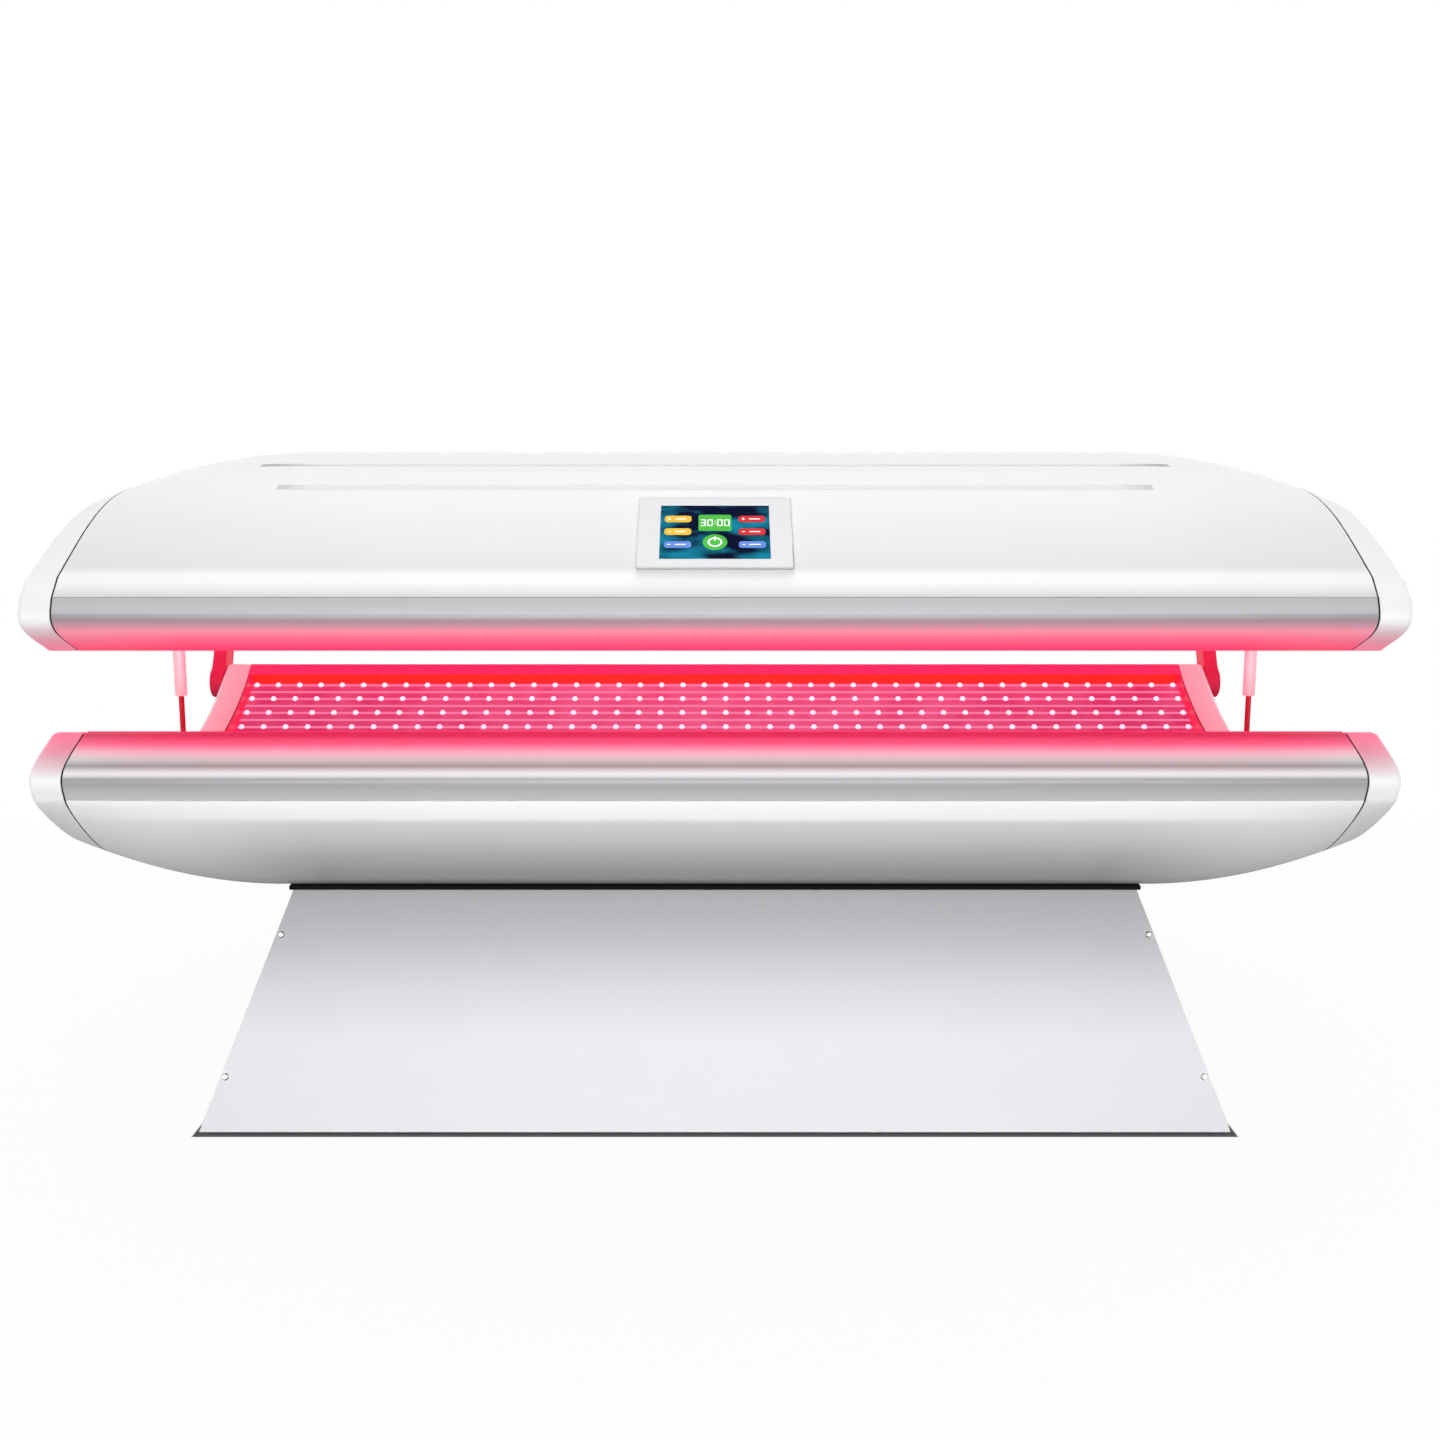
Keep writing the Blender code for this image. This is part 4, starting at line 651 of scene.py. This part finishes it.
# Red solder mask with the LEDs' light painted in as a glow: deep crimson with bright lines along the
# board, palest mid-bed.
BOARD_MASK_PAINTED_GLOW, tree, shader, coords = surface("red_solder_mask_painted_glow", "#801038", 0.42, Emission_Strength=0.95)
board_uv = add_node(tree, "SeparateXYZ", {"Vector": (coords, "UV")})
waves = add_node(tree, "Math", {0: (board_uv, "Y"), 1: 2.0 * pi / STRIP_PITCH}, operation="MULTIPLY")
waves = add_node(tree, "Math", {0: (waves, "Value")}, operation="COSINE")
lines = add_node(tree, "MapRange", {"Value": (waves, "Value"), "From Min": 0.35, "From Max": 0.90})
blotch = add_node(tree, "TexNoise", {"Vector": (coords, "Object"), "Scale": 1000.0 / BLOTCH_MM,
                                     "Detail": 3.0})
spread = add_node(tree, "MapRange", {"Value": (blotch, "Fac"), "From Min": 0.3, "From Max": 0.7,
                                     "To Min": 0.0, "To Max": 0.25})
bright = add_node(tree, "Math", {0: (lines, "Result"), 1: (spread, "Result")}, operation="MAXIMUM")
along = add_node(tree, "Math", {0: (board_uv, "X")}, operation="ABSOLUTE")
painted_mid_glow = add_node(tree, "MapRange", {"Value": (along, "Value"), "From Min": 0.2, "From Max": 0.95,
                                    "To Min": 0.20, "To Max": 0.0})
share = add_node(tree, "Math", {0: (bright, "Value"), 1: (painted_mid_glow, "Result")}, operation="ADD")
glow = add_node(tree, "Mix", {0: (share, "Value"), 6: linear("#C01C58"), 7: linear("#FA84B0")},
                data_type="RGBA")
tree.links.new(glow.outputs[2], shader.inputs["Emission Color"])

# A clear epoxy lens over a lit chip: a small pale pink dome, nearly white in its middle.
LED_LIGHT, tree, shader, coords = surface("lit_led_lens", "#FFD9EA", 0.20, Emission_Strength=1.15)
sparkle = add_node(tree, "TexNoise", {"Vector": (coords, "Object"), "Scale": 1000.0 / SPARKLE_MM})
shine = add_node(tree, "Mix", {0: (sparkle, "Fac"), 6: linear("#FFB4D6"), 7: linear("#FFF2F8")},
                 data_type="RGBA")
tree.links.new(shine.outputs[2], shader.inputs["Emission Color"])
LED_LIGHT.cycles.emission_sampling = "NONE"

# Bare reflector sheet at the sides of the light, with the LEDs' light painted on as an even, saturated
# red glow.
SIDE_SHEET_PAINTED_GLOW, *finish = surface("side_reflector_painted_red_glow", "#C81404", 0.45, Specular_IOR_Level=0.2,
                            Emission_Color=linear("#FF1A00"), Emission_Strength=0.85)
mottle(*finish, 50, ("#C01002", "#D01806"), (0.40, 0.50), stretch=(0.1, 1.0, 1.0))

# The same sheet at the bed's ends, further from the lamps, with a dimmer painted glow: a deep crimson.
END_SHEET_PAINTED_GLOW, *finish = surface("end_reflector_painted_crimson_glow", "#C81440", 0.40,
                               Emission_Color=linear("#D2143C"), Emission_Strength=0.75)
mottle(*finish, 50, ("#C0103A", "#D01A48"), (0.34, 0.46))

# Sheet behind the boards, with the LEDs' red light painted in: a bright red that shows only in the gaps
# between them.
TRAY_PAINTED_RED_LIGHT, *finish = surface("reflector_sheet_painted_red_light", "#F02818", 0.30)
mottle(*finish, 60, ("#E8200F", "#FA3A22"), (0.25, 0.38), stretch=(0.05, 1.0, 1.0))


def tray_angle(i):
    """Angle of the fold between two flats of the tray."""
    return FIT_EDGE * (2.0 * i / BOARD_COUNT - 1.0)


def refinish(node, material):
    """Gives a solid that is shown as it is its real material."""
    frame["nodes"][node].data.materials.clear()
    frame["nodes"][node].data.materials.append(material)


half_step = (tray_angle(1) - tray_angle(0)) / 2
flat_radius = (BED_RADIUS + LED_DEPTH) * cos(half_step)
board_width = 2.0 * (BED_RADIUS + LED_DEPTH) * sin(half_step) - BOARD_GAP
for half, body, turn_sign, face_turn in (("lower", "base", 1.0, 0.0), ("upper", "canopy", -1.0, pi)):
    boards = bmesh.new()
    uv = boards.loops.layers.uv.new("board_uv")
    leds = bmesh.new()
    ops.create_uvsphere(leds, u_segments=8, v_segments=6, radius=LED_RADIUS,
                        matrix=Matrix.Translation((-COLUMN_PITCH * (COLUMNS - 1) / 2, 0.0, 0.0)))
    below = [v for v in leds.verts if v.co.z < -LENS_CUT * LED_RADIUS]
    ops.delete(leds, geom=below, context="VERTS")
    first = list(leds.verts) + list(leds.edges) + list(leds.faces)
    line = list(first)
    for column in range(1, COLUMNS):
        copy = ops.duplicate(leds, geom=first)["geom"]
        ops.translate(leds, vec=(COLUMN_PITCH * column, 0.0, 0.0), verts=verts_of(copy))
        line += copy
    for i in range(BOARD_COUNT):
        middle = (tray_angle(i) + tray_angle(i + 1)) / 2
        y, out = bed_point(flat_radius - BOARD_RISE + BOARD_WALL / 2, middle)
        place = Matrix.Translation((0.0, y, level(out, half))) @ Matrix.Rotation(turn_sign * middle, 4, "X")
        solid = ops.create_cube(boards, size=1.0)["verts"]
        ops.scale(boards, vec=(2.0 * BOARD_HALF, board_width, BOARD_WALL), verts=solid)
        for face in {f for v in solid for f in v.link_faces}:
            for loop in face.loops:
                loop[uv].uv = (loop.vert.co.x, loop.vert.co.y)
        ops.transform(boards, matrix=place, verts=solid)
        for row in range(ROWS):
            copy = ops.duplicate(leds, geom=line)["geom"]
            shift = Matrix.Translation((0.0, (row - (ROWS - 1) / 2) * ROW_PITCH, BOARD_WALL / 2))
            ops.transform(leds, matrix=place @ Matrix.Rotation(face_turn, 4, "X") @ shift,
                          verts=verts_of(copy))
    ops.delete(leds, geom=verts_of(line), context="VERTS")
    place_piece(half + "_glow_painted_boards", boards, BOARD_MASK_PAINTED_GLOW, body,
                *["%s_led_board_%d" % (half, i + 1) for i in range(BOARD_COUNT)])
    lenses = place_piece(half + "_led_lenses", leds, LED_LIGHT, body)
    for label, side in (("front", -1.0), ("rear", 1.0)):
        wall = [bed_point(BED_RADIUS + ACRYLIC_WALL + WALL_GAP + WALL_TALL * i,
                          side * (FIT_EDGE - WALL_INSET - WALL_LEAN * i)) for i in (0, 1)]
        bm = draw_along(wall, half, (-BOARD_HALF, BOARD_HALF))
        face_away(bm, (0.0, side * FAR_OFF, level(0.0, half)))
        thicken(bm, WALL_THICK)
        glow_painted_wall = place_piece("%s_%s_lit_wall" % (half, label), bm, SIDE_SHEET_PAINTED_GLOW, body)
    for label, side in (("left", -1.0), ("right", 1.0)):
        inner = lying_arc(BED_RADIUS + ACRYLIC_WALL + SHEET_GAP, FIT_EDGE * END_WALL_FIT, ARC_STEPS)
        outer = [bed_point(BED_RADIUS + LED_DEPTH - TRAY_GAP, tray_angle(i) * END_WALL_FIT)
                 for i in range(BOARD_COUNT, -1, -1)]
        bm = bmesh.new()
        rim = [bm.verts.new((side * END_WALL_X, y, level(out, half))) for y, out in inner + outer]
        ops.contextual_create(bm, geom=[bm.edges.new(pair) for pair in zip(rim, rim[1:] + rim[:1])])
        face_away(bm, (side * FAR_OFF, 0.0, level(BED_SAG, half)))
        thicken(bm, WALL_THICK)
        end_wall = place_piece("%s_%s_lit_end_wall" % (half, label), bm, END_SHEET_PAINTED_GLOW, body)
    refinish(half + "_tray", TRAY_PAINTED_RED_LIGHT)


# The acrylic: a clear sheet, bent to the lying arc and polished, that carries the person's weight
# in the tub and covers the LEDs in the canopy. A pink light strip holds its long edges.
SHEET_STEPS = 96
HAZE_MM = 111.1
STRIP_WIDE = 0.032
STRIP_WALL = 0.0012
STRIP_LIFT = 0.0003
STRIP_STEPS = 4

# Polished acrylic: hardly there to the eye, a faint rose film with a soft sheen over the boards.
CLEAR_SHEET, tree, shader, coords = surface("polished_clear_acrylic", "#D85070", 0.05, IOR=ACRYLIC_IOR,
                                            Alpha=0.045)
haze = add_node(tree, "TexNoise", {"Vector": (coords, "Object"), "Scale": 1000.0 / HAZE_MM, "Detail": 3.0})
polish = add_node(tree, "MapRange", {"Value": (haze, "Fac"), "To Min": 0.03, "To Max": 0.08})
tree.links.new(polish.outputs["Result"], shader.inputs["Roughness"])

# Frosted edge strip with the light behind it: an even crimson pink.
STRIP_PINK, *finish = surface("lit_pink_edge_strip", "#D82458", 0.35, Emission_Color=linear("#E02458"),
                              Emission_Strength=0.62)
mottle(*finish, 40, ("#D41E50", "#DE2C62"), (0.30, 0.42), stretch=(0.1, 1.0, 1.0))

for half, body in (("lower", "base"), ("upper", "canopy")):
    bm = draw_along(lying_arc(BED_RADIUS, FIT_EDGE, SHEET_STEPS), half, (-SEAM_HALF, SEAM_HALF))
    face_away(bm, (0.0, 0.0, level(BED_RADIUS, half)))
    thicken(bm, ACRYLIC_WALL)
    place_piece(half + "_clear_sheet", bm, CLEAR_SHEET, body, half + "_acrylic")
    strips = bmesh.new()
    start = BED_EDGE - STRIP_WIDE / BED_RADIUS
    for side in (-1.0, 1.0):
        strip = [bed_point(BED_RADIUS - STRIP_LIFT, side * (start + (BED_EDGE - start) * i / STRIP_STEPS))
                 for i in range(STRIP_STEPS + 1)]
        bm = draw_along(strip, half, (-SEAM_HALF, SEAM_HALF))
        face_away(bm, (0.0, 0.0, level(BED_CENTRE, half)))
        ops.reverse_faces(bm, faces=bm.faces)
        ops.solidify(bm, geom=bm.faces[:], thickness=-STRIP_WALL)
        part = bpy.data.meshes.new("strip_part")
        bm.to_mesh(part)
        bm.free()
        strips.from_mesh(part)
        bpy.data.meshes.remove(part)
    ops.recalc_face_normals(strips, faces=strips.faces)
    strip_piece = place_piece(half + "_edge_strips", strips, STRIP_PINK, body)


# The base: four folded panels of powder coated sheet steel, standing on rubber feet behind a
# narrow gap at the floor. Button screws hold the front and rear panels at their slanted edges.
PANEL_EDGE = 0.0009
GASKET_EDGE = 0.0015
FOOT_EDGE = 0.0012
WELD = 0.00002
FLAT = radians(1.0)
SHARP = radians(30)
SCREW_RADIUS = 0.0062
SCREW_TALL = 0.0030
SCREW_CROWN = 0.55
SOCKET_RIM = 0.16
SOCKET_SINK = 0.6
SOCKET_TAPER = 0.0002
SCREW_SPOTS = ((0.7505, 0.318), (0.8345, 0.090))
FOOT_HALF_DEPTH, TOP_HALF_DEPTH = 0.530, 0.400
SKIRT_FOOT, SKIRT_TOP = 0.003, 0.392
BODY_OF = {node: body for body, nodes in frame["record"]["behaviour"]["bodies"].items() for node in nodes}

# Powder coat on sheet steel: a cool matt white with a fine peel, and painted shade under the tub.
PANEL_PAINTED_SHADE_STOPS = ((0.150, 0.98), (0.194, 0.90), (0.232, 0.82), (0.270, 0.72), (0.309, 0.60), (0.348, 0.52),
               (0.392, 0.45))
PANEL_COAT_PAINTED_SHADE, *finish = surface("powder_coat_white_painted_shade", "#DEDFE3", 0.52)
mottle(*finish, 120, ("#DCDDE1", "#E0E1E5"), (0.48, 0.58))
paint_shade_by_height(*finish, PANEL_PAINTED_SHADE_STOPS)
relief(*finish, grain_mm=2.5, depth_mm=0.05, strength=0.16)


def softened(node, material, width, segments=2):
    """A copy of a solid with its sharp edges rounded, which stands for the solid."""
    bm = bmesh.new()
    bm.from_mesh(frame["nodes"][node].data)
    ops.remove_doubles(bm, verts=bm.verts, dist=WELD)
    ops.dissolve_limit(bm, angle_limit=FLAT, verts=bm.verts, edges=bm.edges)
    edges = [e for e in bm.edges if e.is_manifold and e.calc_face_angle() > SHARP]
    ops.bevel(bm, geom=edges, offset=width, segments=segments, profile=0.5, affect="EDGES", material=-1,
              clamp_overlap=True)
    piece = place_piece(node + "_finished", bm, material, BODY_OF[node], node)
    piece.modifiers.new("even_faces", "WEIGHTED_NORMAL").keep_sharp = True


for label in ("front", "rear", "left", "right"):
    softened("base_%s_panel" % label, PANEL_COAT_PAINTED_SHADE, PANEL_EDGE)

# Nickel plate: small bright warm dots along the slanted edges.
SCREW_STEEL, *finish = surface("nickel_plated_screw", "#D9D8D4", 0.28, Metallic=1.0)
mottle(*finish, 4, ("#CFCEC9", "#E2E1DD"), (0.22, 0.36))

skirt_lean = atan2(FOOT_HALF_DEPTH - TOP_HALF_DEPTH, SKIRT_TOP - SKIRT_FOOT)
lifted = Matrix.Translation((0.0, 0.0, SCREW_TALL / 2))
for label, side in (("front", -1.0), ("rear", 1.0)):
    bm = bmesh.new()
    upright = Matrix.Rotation(-side * (pi / 2 - skirt_lean), 4, "X")
    for x_sign in (-1.0, 1.0):
        for x, z in SCREW_SPOTS:
            share = (z - SKIRT_FOOT) / (SKIRT_TOP - SKIRT_FOOT)
            y = side * (FOOT_HALF_DEPTH + (TOP_HALF_DEPTH - FOOT_HALF_DEPTH) * share)
            stand = Matrix.Translation((x_sign * x, y, z)) @ upright @ lifted
            head = ops.create_cone(bm, cap_ends=True, segments=20, depth=SCREW_TALL, matrix=stand,
                                   radius1=SCREW_RADIUS, radius2=SCREW_RADIUS * SCREW_CROWN)["verts"]
            lid = max((f for v in head for f in v.link_faces), key=lambda f: f.calc_center_median().y * side)
            ops.inset_region(bm, faces=[lid], thickness=SCREW_RADIUS * SOCKET_RIM)
            ops.inset_region(bm, faces=[lid], thickness=SOCKET_TAPER, depth=-SCREW_TALL * SOCKET_SINK)
    screws = place_piece(label + "_panel_screws", bm, SCREW_STEEL, "base")

# Extruded rubber: a dull black that shows as one dark line under the tub.
GASKET_BLACK, *finish = surface("black_epdm_rubber", "#060607", 0.85, Specular_IOR_Level=0.15)
mottle(*finish, 12, ("#020203", "#060607"), (0.80, 0.92))
softened("hull_gasket", GASKET_BLACK, GASKET_EDGE)
for label in ("front_left", "front_right", "rear_left", "rear_right"):
    softened("levelling_foot_" + label, GASKET_BLACK, FOOT_EDGE)


# Inside the base: a welded frame in grey primer, a zinc plated shelf with the power supplies and
# the control board, two fans behind the rear vents, and the mains inlet in the rear panel.

# Primer on steel: a flat mid grey, a little uneven.
PRIMER_GREY, *finish = surface("grey_primed_steel", "#7C7E82", 0.55)
mottle(*finish, 50, ("#75777B", "#84868A"), (0.48, 0.64))

# Zinc plate: a dull silver with small cloudy spangles.
ZINC, *finish = surface("zinc_plated_steel", "#B9BAB6", 0.36, Metallic=1.0)
mottle(*finish, 14, ("#A9ABA8", "#C8C9C4"), (0.28, 0.46))

# Brushed aluminium: a pale metal with fine lines along the case.
CASE_METAL, *finish = surface("brushed_aluminium_case", "#C4C5C8", 0.34, Metallic=1.0)
mottle(*finish, 2.5, ("#B8B9BD", "#CFD0D3"), (0.28, 0.42), stretch=(0.02, 1.0, 1.0))

# Glass-filled nylon: a plain black with a half dull face.
MOULDED_BLACK, *finish = surface("black_glass_filled_nylon", "#17181A", 0.50)
mottle(*finish, 9, ("#131416", "#1D1E21"), (0.44, 0.60))

# Solder mask: a deep bottle green with a slight gloss.
BOARD_GREEN, *finish = surface("green_solder_mask", "#1C5B36", 0.38)
mottle(*finish, 5, ("#184F2F", "#226A40"), (0.32, 0.46))

for node, material in (("base_frame", PRIMER_GREY), ("equipment_shelf", ZINC), ("control_board", BOARD_GREEN),
                       ("mains_inlet", MOULDED_BLACK)):
    refinish(node, material)
for label in ("left", "right"):
    refinish("power_supply_" + label, CASE_METAL)
    refinish("fan_frame_" + label, MOULDED_BLACK)
    refinish("fan_rotor_" + label, MOULDED_BLACK)
    refinish("tray_former_" + label, ZINC)


# The control panel: a raised white bezel on the canopy's front slope with a dark glass touch
# screen. The screen shows a running timer and plain coloured keys, printed under the glass.
BEZEL_EDGE = 0.0016
BEZEL_FOOT = 0.134
BEZEL_TOP = 0.244
BEZEL_PROUD = 0.0085
BEZEL_STEPS = 60
SCREEN_EDGE = 0.0006
SCREEN_RECESS = 0.001
CLOUD_MM = 35.714
INK_MM = 18.182
KEY_LIFT = 0.00010
KEY_WALL = 0.00015
SIGN_LIFT = 0.00020
HAND_LIFT = 0.00030
KEY_OUT, KEY_TOP, KEY_PITCH = 0.0605, 0.0330, 0.0330
KEY_WIDE, KEY_TALL, KEY_CORNER = 0.0440, 0.0170, 0.00595
MARK_LEFT, MARK_LONG, MARK_THIN = 0.01408, 0.0058, 0.0016
BAR_RIGHT, BAR_LONG, BAR_TALL, BAR_CORNER = 0.0044, 0.01848, 0.0026, 0.0012
TIMER_Y, TIMER_WIDE, TIMER_TALL, TIMER_CORNER = 0.0230, 0.0540, 0.0420, 0.004
START_Y, START_RADIUS = -0.0270, 0.0200
RING_OUT, RING_IN = 0.0120, 0.0088
HAND_UP, HAND_WIDE, HAND_LONG = 0.0090, 0.0022, 0.0110
DIGIT_WIDE, DIGIT_TALL, DIGIT_STROKE = 0.0072, 0.0150, 0.0022
STROKE_OVERLAP, STROKE_CORNER = 1.12, 0.4
DIGITS = ((-0.0195, "abcdg"), (-0.0080, "abcdef"), (0.0080, "abcdef"), (0.0195, "abcdef"))
COLON_UP, COLON_DOT = 0.003, 0.0016

# Moulded ABS with a fine satin: an even white, with a painted shadow line along its foot.
BEZEL_ABS_PAINTED_SHADOW, *finish = surface("moulded_abs_satin_painted_shadow", "#E5E5E8", 0.36)
mottle(*finish, 60, ("#E3E3E6", "#E7E7EA"), (0.32, 0.42))
paint_shade_by_height(*finish, ((0.9545, 0.46), (0.9585, 0.56), (0.9610, 1.0), (1.066, 1.0)))
softened("control_bezel", BEZEL_ABS_PAINTED_SHADOW, BEZEL_EDGE, segments=3)

# Backlit glass: near black with a soft blue cast that drifts across it.
SCREEN_DARK, tree, shader, coords = surface("backlit_screen_glass", "#01030A", 0.10,
                                            Specular_IOR_Level=0.02, Emission_Strength=0.9)
drift = add_node(tree, "Mapping", {"Vector": (coords, "Object"), "Scale": (0.5, 1.0, 1.0)})
clouds = add_node(tree, "TexNoise", {"Vector": (drift, "Vector"), "Scale": 1000.0 / CLOUD_MM,
                                     "Detail": 2.0})
fade = add_node(tree, "MapRange", {"Value": (clouds, "Fac"), "From Min": 0.42, "From Max": 0.66})
tint = add_node(tree, "Mix", {0: (fade, "Result"), 6: linear("#030E30"), 7: linear("#148CAC")},
                data_type="RGBA")
tree.links.new(tint.outputs[2], shader.inputs["Emission Color"])
softened("touch_screen", SCREEN_DARK, SCREEN_EDGE)


def backlit_ink(name, low_colour, high_colour):
    """Ink lit from behind: a flat clear colour with a slight cloud, which stays readable on dark glass."""
    made, tree, shader, coords = surface(name, low_colour, 0.25, Specular_IOR_Level=0.15,
                                         Emission_Strength=0.12)
    cloud = add_node(tree, "TexNoise", {"Vector": (coords, "Object"), "Scale": 1000.0 / INK_MM})
    blend = add_node(tree, "Mix", {0: (cloud, "Fac"), 6: linear(low_colour), 7: linear(high_colour)},
                     data_type="RGBA")
    tree.links.new(blend.outputs[2], shader.inputs["Emission Color"])
    tree.links.new(blend.outputs[2], shader.inputs["Base Color"])
    return made


# Inks printed under the glass: flat key colours and white signs, bright on the dark ground.
KEY_BLUE = backlit_ink("blue_backlit_ink", "#4E74CC", "#6E94E4")
KEY_AMBER = backlit_ink("amber_backlit_ink", "#E0AE22", "#F0C84A")
KEY_RED = backlit_ink("red_backlit_ink", "#BC1420", "#D82E38")
KEY_GREEN = backlit_ink("green_backlit_ink", "#38A42E", "#54C246")
KEY_WHITE = backlit_ink("white_backlit_ink", "#F4FBF6", "#FFFFFF")


def slope_place():
    """The flat face of the bezel: local X along the bed, Y up the slope, Z out of it."""
    points = [Vector(p) for p in canopy_slope(BEZEL_STEPS) if BEZEL_FOOT <= p[1] <= BEZEL_TOP]
    run = (points[-1] - points[0]).normalized()
    middle = (points[0] + points[-1]) / 2 + Vector((-run.y, run.x)) * BEZEL_PROUD
    place = Matrix.Translation((0.0, middle.x, level(middle.y, "upper")))
    return place @ Matrix.Rotation(asin(run.y), 4, "X")


def add_key(bm, x, y, wide, tall, corner=0.0, turn=0.0, lift=0.0):
    """A thin printed field, with rounded corners where asked, laid on the glass."""
    field = ops.create_grid(bm, x_segments=1, y_segments=1, size=0.5)["verts"]
    ops.scale(bm, vec=(wide, tall, 1.0), verts=field)
    face = field[0].link_faces[0]
    if corner:
        ops.bevel(bm, geom=field, offset=corner, segments=5, profile=0.5, affect="VERTICES", material=-1)
        face = [f for f in bm.faces if f.is_valid][-1]
    top = verts_of(ops.extrude_face_region(bm, geom=[face])["geom"])
    ops.translate(bm, vec=(0.0, 0.0, KEY_WALL), verts=top)
    whole = list({v for f in {f for v in top for f in v.link_faces} for v in f.verts})
    place = Matrix.Translation((x, y, lift)) @ Matrix.Rotation(turn, 4, "Z")
    ops.transform(bm, verts=whole, matrix=place)


def add_digit(bm, x, y, strokes):
    """One number of the timer, drawn with seven strokes as segment displays do."""
    spots = {"a": (0.0, 1.0, 0), "b": (0.5, 0.5, 1), "c": (0.5, -0.5, 1), "d": (0.0, -1.0, 0),
             "e": (-0.5, -0.5, 1), "f": (-0.5, 0.5, 1), "g": (0.0, 0.0, 0)}
    for stroke in strokes:
        u, v, upright = spots[stroke]
        add_key(bm, x + u * DIGIT_WIDE, y + v * DIGIT_TALL / 2, DIGIT_WIDE * STROKE_OVERLAP, DIGIT_STROKE,
                DIGIT_STROKE * STROKE_CORNER, turn=upright * pi / 2, lift=SIGN_LIFT)


def add_ring(bm, x, y, outer, inner, lift):
    """A flat printed ring."""
    disc = ops.create_circle(bm, cap_ends=True, segments=28, radius=outer)["verts"]
    face = disc[0].link_faces[0]
    ops.inset_region(bm, faces=[face], thickness=outer - inner, use_boundary=True)
    ops.delete(bm, geom=[face], context="FACES_ONLY")
    faces = list(dict.fromkeys(f for v in disc for f in v.link_faces))
    ring = list({v for f in faces for v in f.verts})
    top = verts_of(ops.extrude_face_region(bm, geom=faces)["geom"])
    ops.translate(bm, vec=(0.0, 0.0, KEY_WALL), verts=top)
    ops.translate(bm, vec=(x, y, lift), verts=ring + top)


glass_face = slope_place() @ Matrix.Translation((0.0, 0.0, KEY_LIFT - SCREEN_RECESS))
blue, amber, red, green, signs = (bmesh.new() for _ in range(5))
for side, warm in ((-1.0, amber), (1.0, red)):
    for row, keys in ((0, warm), (1, warm), (2, blue)):
        x, y = side * KEY_OUT, KEY_TOP - row * KEY_PITCH
        add_key(keys, x, y, KEY_WIDE, KEY_TALL, KEY_CORNER)
        add_key(signs, x - MARK_LEFT, y, MARK_LONG, MARK_THIN, lift=SIGN_LIFT)
        if row == 0:
            add_key(signs, x - MARK_LEFT, y, MARK_THIN, MARK_LONG, lift=SIGN_LIFT)
        add_key(signs, x + BAR_RIGHT, y, BAR_LONG, BAR_TALL, BAR_CORNER, lift=SIGN_LIFT)
add_key(green, 0.0, TIMER_Y, TIMER_WIDE, TIMER_TALL, TIMER_CORNER)
ops.create_cone(green, cap_ends=True, segments=36, radius1=START_RADIUS, radius2=START_RADIUS,
                depth=KEY_WALL, matrix=Matrix.Translation((0.0, START_Y, KEY_WALL / 2)))
for x, strokes in DIGITS:
    add_digit(signs, x, TIMER_Y, strokes)
for up in (COLON_UP, -COLON_UP):
    add_key(signs, 0.0, TIMER_Y + up, COLON_DOT, COLON_DOT, lift=SIGN_LIFT)
add_ring(signs, 0.0, START_Y, RING_OUT, RING_IN, SIGN_LIFT)
add_key(signs, 0.0, START_Y + HAND_UP, HAND_WIDE, HAND_LONG, lift=HAND_LIFT)
for label, printed, material in (("blue_keys", blue, KEY_BLUE), ("amber_keys", amber, KEY_AMBER),
                                 ("red_keys", red, KEY_RED), ("green_fields", green, KEY_GREEN),
                                 ("signs", signs, KEY_WHITE)):
    ops.recalc_face_normals(printed, faces=printed.faces)
    ops.transform(printed, matrix=glass_face, verts=printed.verts)
    keys = place_piece("screen_" + label, printed, material, "canopy")


# The canopy's carriers: two cranked hinge arms at the rear corners, enamelled, with the bed's red
# light painted into their colour, and a gas spring at each end with its enamelled tube above and its
# chromed rod below, each with the bed's pink or red light painted in.
ARM_EDGE = 0.0012
PIN_EDGE = 0.0008
SPRING_EDGE = 0.0005
FORK_EDGE = 0.0007

# Enamel with the bed's red light painted in: a full dull rose red.
ARM_ENAMEL_PAINTED_RED_LIGHT, *finish = surface("arm_enamel_painted_red_light", "#E8204E", 0.60, Specular_IOR_Level=0.25)
mottle(*finish, 30, ("#E21C48", "#EE2856"), (0.55, 0.68))

# Pale enamel with the bed's pink light painted in: a soft pink, with a clear highlight down its length.
TUBE_ENAMEL_PAINTED_PINK_LIGHT, *finish = surface("tube_enamel_painted_pink_light", "#FFC8D0", 0.28)
mottle(*finish, 22, ("#FCC2CA", "#FFCED6"), (0.24, 0.36))

# Chrome with the lit bed's red reflection painted in: a thin bright red line.
ROD_CHROME_PAINTED_RED_REFLECTION, *finish = surface("chromed_rod_painted_red_reflection", "#C41C30", 0.20, Metallic=0.6)
mottle(*finish, 6, ("#B8182C", "#D02438"), (0.16, 0.28))

for label in ("left", "right"):
    softened("hinge_arm_" + label, ARM_ENAMEL_PAINTED_RED_LIGHT, ARM_EDGE)
    softened("hinge_pin_" + label, ZINC, PIN_EDGE)
    softened("gas_spring_tube_" + label, TUBE_ENAMEL_PAINTED_PINK_LIGHT, SPRING_EDGE)
    softened("gas_spring_rod_" + label, ROD_CHROME_PAINTED_RED_REFLECTION, SPRING_EDGE)
    for where in ("lower", "upper"):
        softened("spring_fork_%s_%s" % (where, label), ZINC, FORK_EDGE)
